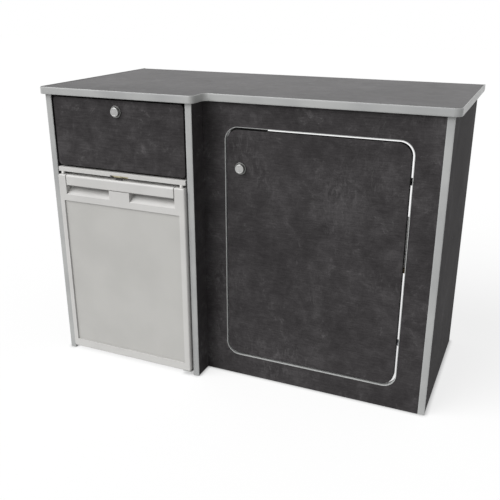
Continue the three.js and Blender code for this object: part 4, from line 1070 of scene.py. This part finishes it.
def makeHingeCup(name, x, z):
    size = hinge
    back, half, pocket = size["back"], size["flangeHalf"], size["pocketHalf"]
    flangeY = (back, back + size["flangeSheet"])
    cup = startBox(name, size["flange"], flangeY, (z - half, z + half))
    roundCorners(cup, "y", size["flangeCorner"], 6)
    fuse(cup, startRod("cup well", "y", size["cup"], (size["cupFrom"], back + 0.5), (x, z), 64))
    cutBy(cup, startBox("cup pocket", size["pocketX"], size["pocketY"], (z - pocket, z + pocket)))
    soften(cup, 0.25)
    return joinTo(cup, *makePins("cup pin", size["doorPins"], z, pocket + 0.2))


def makeHingeArm(name, z):
    size = hinge
    back, half, arm, room = size["back"], size["plateHalf"], size["armHalf"], size["linkRoom"]
    plateY = (back, back + size["plateSheet"])
    plate = startBox(name, size["plate"], plateY, (z - half, z + half))
    roundCorners(plate, "y", size["plateCorner"], 5)
    fuse(plate, startBox("arm", size["arm"], (back + 0.5, size["armBack"]), (z - arm, z + arm)))
    for low, high in ((room, arm), (-arm, -room)):
        cheekY = (size["cheekFrom"], size["armBack"])
        cheek = startBox("cheek", size["cheeks"], cheekY, (z + low, z + high))
        isNose = lambda e: runsAlong(e, "z") and liesAt(e, "x", size["cheeks"][0])
        fuse(plate, bevelWhere(cheek, "EDGE", isNose, size["cheekRound"], 6))
    soften(plate, 0.35)
    return joinTo(plate, *makePins("frame pin", size["framePins"], z, room + 0.3))


def makeHinges():
    size, levels, x = hinge, cupboardDoor["hinges"], cupboardDoor["cupX"]
    cup = makeHingeCup("hinge_cup_body_upper", x, levels["upper"])
    arm = makeHingeArm("hinge_arm_body_upper", levels["upper"])
    shift = (0, 0, levels["lower"] - levels["upper"])
    cups = {"upper": cup, "lower": copyPiece(cup, "hinge_cup_body_lower", shift)}
    arms = {"upper": arm, "lower": copyPiece(arm, "hinge_arm_body_lower", shift)}
    cupY, plateY = size["back"] + size["flangeSheet"], size["back"] + size["plateSheet"]
    plateX, plateOut = size["plateScrews"]
    for name, z in levels.items():
        dress(cups[name], "cupboard_door", "zinc_plated_steel", [zincSteel], "hinge_cup_" + name)
        dress(arms[name], "carcass", "zinc_plated_steel", [zincSteel], "hinge_arm_" + name)
        places = [(x, cupY, z + side * size["cupScrews"]) for side in (-1, 1)]
        setScrews("hinge_cup_screws_" + name, "cupboard_door", places, (180, "Z"))
        places = [(plateX, plateY, z + side * plateOut) for side in (-1, 1)]
        places.append((size["adjusterX"], size["armBack"], z))
        setScrews("hinge_arm_screws_" + name, "carcass", places, (180, "Z"))


makeKeeps()
makeHinges()
print("hinges made")

# Fridge

fridge = {
    "x": across(0, 380),
    "y": (-8.5, 27),
    "z": tall(0, 509),
    "corner": 6,
    "edge": 4,
    "softEdge": 0.6,
    "slot": (across(23.75, 351.25), (-28.5, 14), tall(480, 530)),
    "recesses": (across(23.75, 158.25), across(219.25, 351.25)),
    "recessZ": tall(456, 484),
    "recessRise": 17.5,  # its floor is a ramp from the front edge up to the back of the slot
    "recessRound": 2.5,
    "insertX": across(14.25, 363.25),
    "insertY": (-5, -3.5),
    "insertZ": tall(24, 439),
    "insertCorner": 2,
    "insertGap": 0.3,
    "pinX": 367.85 + fridgeLeft,
    "pinBore": 4.5,
    "pinHoles": (tall(-5, 14.5), tall(494.5, 515)),
    "footNotch": (across(174.25, 230.25), (-12.5, -5.5), tall(-5, 3.5)),
}


# The tool that cuts a finger recess: a wedge whose lower side is the ramp
def makeFingerRecess(x):
    size = fridge
    front, back = size["y"][0], size["slot"][1][1]
    low, high = size["recessZ"]
    beyond = front - 2.5
    room = startBox("finger recess", x, (beyond, back), (low, high))
    startEdit(room)
    slope = size["recessRise"] / (back - front)
    for y in (beyond, back):
        pick("VERT", lambda v: liesAt(v, "y", y) and liesAt(v, "z", low))
        move(0, 0, slope * (y - front))
    pick("EDGE", lambda e: liesAt(e, "y", back) and runsAlong(e, "z"))
    bevel(size["recessRound"], 4)
    endEdit()
    return room


def makeFridgeDoor():
    size = fridge
    moulding = makeFacePanel("fridge_door_moulding", size)
    recesses = [makeFingerRecess(x) for x in size["recesses"]]
    cutBy(moulding, startBox("handle slot", *size["slot"]), *recesses)
    gap, corner = size["insertGap"], size["insertCorner"]
    (left, right), (bottom, top) = size["insertX"], size["insertZ"]
    wellY = (size["y"][0] - 4, size["insertY"][1] + gap)
    well = startBox("insert well", (left, right), wellY, (bottom, top))
    roundCorners(well, "y", corner, 4)
    place = (size["pinX"], 0)
    holes = [startRod("pin hole", "z", size["pinBore"], span, place) for span in size["pinHoles"]]
    cutBy(moulding, well, *holes, startBox("foot notch", *size["footNotch"]))
    soften(moulding, size["softEdge"])
    dress(moulding, "fridge_door", "fridge_grey_plastic", [fridgePlastic], "fridge_door_frame")

    spans = ((left + gap, right - gap), size["insertY"], (bottom + gap, top - gap))
    sheet = roundCorners(startBox("fridge_insert_sheet", *spans), "y", corner - gap, 4)
    soften(sheet, 0.3)
    dress(sheet, "fridge_door", "insert_panel", [insertSheet], "fridge_door_insert")


handle = {
    "x": across(26.25, 348.75),
    "z": tall(481, 509),
    "plate": 4.5,
    "topBlock": 12,
    "blockFrom": 499 + fridgeFloor,
    "frontRound": 6,
    "smallRound": 2.5,
    "softEdge": 0.6,
    "pinPlace": (-1.5, 514),
    "pin": 2,
    "pinLength": 6,
    "catchHalf": 10,
    "catchY": (-2, 1),
    "catchZ": tall(506, 513),
}


def makeHandle():
    size = handle
    front, step = fridge["y"][0], size["blockFrom"]
    (left, right), (bottom, top) = size["x"], size["z"]
    barY = (front, front + size["plate"])
    bar = startBox("fridge_handle_moulding", (left, right), barY, (bottom, top))
    startEdit(bar)
    splitAt("z", step)
    pick("FACE", lambda f: f.normal.y > 0.9 and mm(f.calc_center_median())[2] > step)
    extrude(0, size["topBlock"] - size["plate"], 0)
    rounds = [
        (front, top, size["frontRound"], 8),
        (front, bottom, size["smallRound"], 4),
        (front + size["topBlock"], top, size["smallRound"], 4),
        (front + size["plate"], step, size["smallRound"], 4),
    ]
    for y, z, radius, steps in rounds:
        pick("EDGE", lambda e: runsAlong(e, "x") and liesAt(e, "y", y) and liesAt(e, "z", z))
        bevel(radius, steps)
    endEdit()
    soften(bar, size["softEdge"])
    middle, length, half = (left + right) / 2, size["pinLength"], size["catchHalf"]
    ends = ((left - length, left + 1), (right - 1, right + length))
    parts = [startRod("handle pin", "x", size["pin"], span, size["pinPlace"], 24) for span in ends]
    parts.append(startBox("catch", (middle - half, middle + half), size["catchY"], size["catchZ"]))
    joinTo(bar, *[soften(part, 0.4) for part in parts])
    catchFrom, catchReach = at(0, 0, top + 0.4)[2], half + 2
    isCatch = lambda face: face.center.z > catchFrom and abs(mm(face.center)[0] - middle) < catchReach
    materials = [fridgePlastic, boxPlastic]
    dress(bar, "fridge_handle", "fridge_grey_plastic", materials, "fridge_handle_bar", where=isCatch)


topRail = {
    "z": tall(516, 528),
    "y": (-2, 33),
    "latchNotch": (across(161.75, 215.75), (-5, 16), tall(510, 520)),
    "softEdge": 0.9,
    "pin": 4,
    "pins": {12.15 + fridgeLeft: tall(509.5, 516.4), fridge["pinX"]: tall(495, 516.4)},
}


def makeTopRail():
    size = topRail
    rail = startBox("fridge_rail_moulding", fridge["x"], size["y"], size["z"])
    cutBy(rail, startBox("latch notch", *size["latchNotch"]))
    soften(rail, size["softEdge"], 3)
    dress(rail, "carcass", "fridge_grey_plastic", [fridgePlastic], "fridge_top_rail")
    rods = size["pins"].items()
    pins = [startRod("fridge_hinge_pins", "z", size["pin"], span, (x, 0), 36) for x, span in rods]
    joinTo(*[soften(pin, 0.5) for pin in pins])
    dress(pins[0], "carcass", "fridge_grey_plastic", [pinPlastic])


doorInside = {
    "flangeX": across(1, 379),
    "flangeY": (27.3, 31.3),
    "flangeZ": tall(1, 508),
    "flangeCorner": 5,
    "panX": across(49.25, 330.75),
    "panZ": tall(44, 470),
    "panBack": 51.3,
    "panCorner": 14,
    "panLip": 3,
    "panWall": 8,
    "gasketX": across(8, 372),
    "gasketY": (31.6, 32.8),
    "gasketZ": tall(8, 501),
    "gasketWidth": 12,
    "gasketCorner": 8,
    "rackX": across(61.25, 318.75),
    "rackY": (31.6, 103.6),
    "rackZ": tall(56, 118),
    "rackPitch": 201,
    "rackWall": 2.5,
    "rackSlope": 8,
    "rackRound": 5,
}


def makeDoorLiner():
    size = doorInside
    back, deep = size["flangeY"][1], size["panBack"]
    liner = startBox("fridge_door_inner_panel", size["flangeX"], size["flangeY"], size["flangeZ"])
    roundCorners(liner, "y", size["flangeCorner"], 5)
    (left, right), (bottom, top) = size["panX"], size["panZ"]
    pan = startBox("pan", (left, right), (back - 2, deep), (bottom, top))
    startEdit(roundCorners(pan, "y", size["panCorner"], 8))
    pick("FACE", lambda f: f.normal.y > 0.9)
    shrink = [(span - 2 * size["panLip"]) / span for span in (right - left, top - bottom)]
    resize((shrink[0], 1, shrink[1]), ((left + right) / 2, deep, (bottom + top) / 2))
    bpy.ops.mesh.inset(thickness=size["panWall"] / 1000)
    extrude(0, back - deep, 0)
    endEdit()
    fuse(liner, pan)
    soften(liner, 1.0, 3)
    dress(liner, "fridge_door", "fridge_white_plastic", [linerPlastic], "fridge_door_liner")


def makeDoorSeal():
    size, width = doorInside, doorInside["gasketWidth"]
    (left, right), (bottom, top) = size["gasketX"], size["gasketZ"]
    seal = startBox("fridge_door_seal", (left, right), size["gasketY"], (bottom, top))
    roundCorners(seal, "y", size["gasketCorner"], 6)
    inside = ((left + width, right - width), (20, 40), (bottom + width, top - width))
    soften(cutBy(seal, startBox("seal hole", *inside)), 0.4)
    dress(seal, "fridge_door", "seal_rubber", [sealPlastic], "fridge_door_gasket")


def makeDoorRacks():
    size, wall = doorInside, doorInside["rackWall"]
    (front, back), (bottom, top) = size["rackY"], size["rackZ"]
    tray = startBox("door_tray_lower", size["rackX"], (front, back), (bottom, top))
    startEdit(tray)
    pick("VERT", lambda v: liesAt(v, "y", back) and liesAt(v, "z", bottom))
    move(0, -size["rackSlope"], 0)
    atBack = lambda edge: all(mm(corner.co)[1] > back - 9 for corner in edge.verts)
    pick("EDGE", lambda e: atBack(e) and not runsAlong(e, "x"))
    bevel(size["rackRound"], 6)
    pick("FACE", lambda f: f.normal.z > 0.9)
    bpy.ops.mesh.inset(thickness=wall / 1000)
    extrude(0, 0, wall - (top - bottom))
    openDeep = back - front - 2 * wall
    resize((1, (openDeep - size["rackSlope"]) / openDeep, 1), (0, front + wall, 0))
    endEdit()
    soften(tray, 0.7)
    upper = copyPiece(tray, "door_tray_upper", (0, 0, size["rackPitch"]))
    dress(tray, "fridge_door", "fridge_white_plastic", [linerPlastic], "door_rack_lower")
    dress(upper, "fridge_door", "fridge_white_plastic", [linerPlastic], "door_rack_upper")


makeFridgeDoor()
makeHandle()
makeTopRail()
makeDoorLiner()
makeDoorSeal()
makeDoorRacks()
print("fridge door made")

# Compressor and condenser behind the fridge

compressor = {
    "middle": (160.75, 393.3),
    "pot": 56,
    "potZ": (28, 162.5),
    "potRound": 34,
    "seam": 58.5,
    "seamHalf": 2.5,
    "stub": (4, (86.75, 110), 73),  # radius, x and z
    "plate": ((77.4, 327.4), (347.3, 455), (12.3, 14.3)),
    "plateCorner": 6,
    "feetOut": 33,
    "foot": 8,
    "footZ": (14.3, 36),
    "footWaist": (18, 21),
    "waistShare": 0.8,
    "box": ((208.75, 242.75), (362.3, 424.3), (56, 112)),
    "boxCorner": 4,
    "grooves": [((241.25, 260), (370.3, 416.3), (z, z + 3)) for z in (72, 80, 88, 96)],
    "pipe": 2.2,
    "pipeBend": 8,
    "pipeIn": 3,  # how far its end runs into the condenser
    "hotPipe": (84, 150),  # x where it rises, z where it runs back
    "returnPipe": (28, 140, 172, 329),  # out from the middle, its start and bend in z, its end in y
}
condenser = {
    "tube": 2.5,
    "y": 464.3,
    "x": (78.75, 342.75),
    "runs": 8,
    "lowestRun": 217,
    "pitch": 36,
    "strips": (120.75, 300.75),
    "stripHalf": 7,
    "stripY": (461.8, 463.3),
    "footY": (455.6, 463.1),
    "footTall": 14,
}


def startTube(name, radius, place, turn):
    bpy.ops.object.select_all(action="DESELECT")
    bpy.ops.mesh.primitive_circle_add(
        vertices=14, radius=radius / 1000, fill_type="NGON", location=at(0, 0, 0)
    )
    ring = settle(name)
    startEdit(ring)
    placeSection([turn], place)
    return ring


def makePot():
    size = compressor
    (low, high), (x, y) = size["potZ"], size["middle"]
    pot = startRod("compressor_pot", "z", size["pot"], (low, high), (x, y), 72)
    bevelWhere(pot, "FACE", lambda f: abs(f.normal.z) > 0.9, size["potRound"], 9)
    middle, half = (low + high) / 2, size["seamHalf"]
    fuse(pot, startRod("seam", "z", size["seam"], (middle - half, middle + half), (x, y), 72))
    radius, span, height = size["stub"]
    fuse(pot, startRod("stub", "x", radius, span, (y, height), 24))
    plate = roundCorners(startBox("plate", *size["plate"]), "z", size["plateCorner"], 5)
    joinTo(soften(pot, 0.7), soften(plate, 0.4))
    dress(pot, "carcass", "black_steel", [blackPaint], "compressor")


# Rubber feet with a waist where the plate holds them
def makeFeet():
    size = compressor
    (x, y), out, (low, high) = size["middle"], size["feetOut"], size["footWaist"]
    share = size["waistShare"]
    isWaist = lambda f: abs(f.normal.z) < 0.5 and low < mm(f.calc_center_median())[2] < high
    feet = []
    for place in [(x + side * out, y + end * out) for side in (-1, 1) for end in (-1, 1)]:
        foot = startRod("compressor_feet", "z", size["foot"], size["footZ"], place)
        startEdit(foot)
        splitAt("z", low)
        splitAt("z", high)
        pick("FACE", isWaist)
        resize((share, share, 1), (*place, low))
        endEdit()
        feet.append(soften(foot, 0.5))
    joinTo(*feet)
    dress(feet[0], "carcass", "black_steel", [rubber])


def makeElectronicsBox():
    size = compressor
    box = roundCorners(startBox("compressor_electronics", *size["box"]), "x", size["boxCorner"], 5)
    soften(cutBy(box, *[startBox("groove", *spans) for spans in size["grooves"]]), 0.5)
    dress(box, "carcass", "black_steel", [boxPlastic])


def makePipes():
    size, radius, bend = compressor, compressor["pipe"], compressor["pipeBend"]
    (x, y), (left, high) = size["middle"], size["hotPipe"]
    end, height = size["stub"][1][0], size["stub"][2]
    back, lowest = condenser["y"], condenser["lowestRun"]
    pipe = startTube("compressor_hot_pipe", radius, (end + 1, y, height), (-90, "Y"))
    drawAlong(
        ("go", left - end - 1, 0, 0),
        ("turn", (left, y, height + bend), (0, 1, 0), 90, 8),
        ("go", 0, 0, high - height - bend),
        ("turn", (left - bend, y + bend, high), (1, 0, 0), -90, 8),
        ("go", 0, back - y - 2 * bend, 0),
        ("turn", (left - bend, back - bend, high + 2 * bend), (1, 0, 0), 90, 8),
        ("go", 0, 0, lowest - high - 3 * bend),
        ("turn", (left, back, lowest - bend), (0, 1, 0), 90, 8),
        ("go", size["pipeIn"], 0, 0),
    )
    dress(endSweep(pipe), "carcass", "black_steel", [copperTube])
    out, low, high, front = size["returnPipe"]
    pipe = startTube("compressor_return_pipe", radius, (x + out, y + out, low), (0, "Z"))
    drawAlong(
        ("go", 0, 0, high - low),
        ("turn", (x + out, y + out - bend, high), (1, 0, 0), 90, 8),
        ("go", 0, front - y - out + bend, 0),
    )
    dress(endSweep(pipe), "carcass", "black_steel", [copperTube])


def makeCondenser():
    size, (left, right), y = condenser, condenser["x"], condenser["y"]
    pitch, lowest = size["pitch"], size["lowestRun"]
    tube = startTube("condenser_tube", size["tube"], (left, y, lowest), (90, "Y"))
    path = []
    for run in range(size["runs"]):
        end, way = (right, 1) if run % 2 == 0 else (left, -1)
        centre = (end, y, lowest + run * pitch + pitch / 2)
        path += [("go", way * (right - left), 0, 0), ("turn", centre, (0, 1, 0), -180 * way, 14)]
    drawAlong(*path[:-1])
    endSweep(tube)
    low, high = lowest - pitch / 2, lowest + pitch / 2 + pitch * (size["runs"] - 1)
    strips = []
    for x in size["strips"]:
        wide = (x - size["stripHalf"], x + size["stripHalf"])
        strip = startBox("strip", wide, size["stripY"], (low, high))
        for span in ((low, low + size["footTall"]), (high - size["footTall"], high)):
            fuse(strip, startBox("foot", wide, size["footY"], span))
        strips.append(soften(strip, 0.3))
    joinTo(tube, *strips)
    dress(tube, "carcass", "black_steel", [blackPaint], "condenser")


makePot()
makeFeet()
makeElectronicsBox()
makePipes()
makeCondenser()
onlyThis(screwModel)
bpy.ops.object.delete()
print("cooling made")

# The nodes that keep their CAD shape get the same finishes

runnerParts, linkParts = ("cabinet", "middle", "drawer"), ("inner", "outer")
runners = [f"runner_{part}_{side}" for part in runnerParts for side in ("left", "right")]
links = [f"hinge_{part}_link_{level}" for part in linkParts for level in ("upper", "lower")]
cadFinishes = [
    (cabinetSteel, ["fridge_housing"]),
    (linerPlastic, ["fridge_liner"]),
    (aluminium, ["fridge_ice_box", "fridge_shelf_lower", "fridge_shelf_upper"]),
    (brassPlate, ["fridge_latch_plate"]),
    (zincSteel, ["drawer_lock_keep", "drawer_lock_bolt", "door_lock_bolt", *runners, *links]),
]
for material, nodes in cadFinishes:
    for node in nodes:
        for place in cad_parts[node].material_slots:
            place.material = material

# Camera, as solved from the photo's edges: it looks down and to the left

camera = bpy.data.objects.new("photo camera", bpy.data.cameras.new("photo camera"))
bpy.context.collection.objects.link(camera)
camera.data.lens = 48.64
camera.data.sensor_width = 36
camera.location = (0.6781, -1.64295, 0.9615)
camera.rotation_euler = (math.radians(90 - 20.647), 0, math.radians(23.645))
bpy.context.scene.camera = camera

# Studio: a soft, wide sun high at the left front under an even sky. Floor and surroundings look
# white to the camera and in reflections, and the floor keeps a faint shadow.

studio = {
    "sky": 0.36,
    "sun": 3.05,
    "sunAngle": 50,  # degrees across, so that its shadows are soft
    "sunFrom": (-0.52, -0.6, 0.74),
    "floorReach": (-11000, 12000),
    "floor": [(0.3, "#cfcfce"), (0.7, "#d2d2d1")],
    "shadowShare": 0.2,
    "contactMm": 12,  # how far from the object the floor still darkens in its narrow gaps
}


# 1 for rays from the camera, from a reflection and through glass, 0 for the rest
def addRays(tree):
    rays = addNode(tree, "LightPath").outputs
    direct = (rays["Is Camera Ray"], rays["Is Glossy Ray"])
    seen = addNode(tree, "Math", direct, operation="MAXIMUM")
    return addNode(tree, "Math", (seen, rays["Is Transmission Ray"]), operation="MAXIMUM")


def makeFloor():
    reach, share = studio["floorReach"], studio["shadowShare"]
    floor = startPlane("studio_floor", reach, reach, 0)
    shaderInputs = {"Roughness": 0.85, "IOR": 1.4}
    material, tree, shader, place = newMaterial("painted studio floor", shaderInputs)
    grain = addNode(tree, "TexNoise", {"Vector": place, "Scale": 30.0, "Detail": 3})
    setInputs(shader, {"Base Color": addNode(tree, "ValToRGB", (grain,), studio["floor"])})
    contact = {"Distance": studio["contactMm"] / 1000}
    clear = addNode(tree, "AmbientOcclusion", contact, samples=8).outputs["AO"]
    lit = addNode(tree, "Math", (clear, 1 - share), operation="MULTIPLY")
    white = addNode(tree, "Emission", {"Strength": lit})
    shaded = addNode(tree, "BsdfDiffuse", {"Color": [share] * 3 + [1.0]})
    seenFloor = addNode(tree, "AddShader", (white, shaded))
    both = addNode(tree, "MixShader", (addRays(tree), shader, seenFloor))
    output = next(node for node in tree.nodes if node.type == "OUTPUT_MATERIAL")
    setInputs(output, {"Surface": both})
    floor.data.materials.append(material)


def makeLight():
    world = bpy.data.worlds.new("white studio")
    world.use_nodes = True
    tree = world.node_tree
    tree.nodes.clear()
    level = addNode(tree, "MapRange", {"Value": addRays(tree), "To Min": studio["sky"], "To Max": 1.0})
    sky = addNode(tree, "Background", {"Color": (1, 1, 1, 1), "Strength": level})
    addNode(tree, "OutputWorld", {"Surface": sky})
    bpy.context.scene.world = world

    bpy.ops.object.light_add(type="SUN", location=(-2, -3, 3.5))
    sun = bpy.context.object
    sun.name = "wide soft sun"
    sun.data.energy = studio["sun"]
    sun.data.angle = math.radians(studio["sunAngle"])
    sun.rotation_euler = Vector(studio["sunFrom"]).to_track_quat("Z", "Y").to_euler()


makeFloor()
makeLight()
bpy.context.scene.view_settings.view_transform = "Standard"
print("studio made")
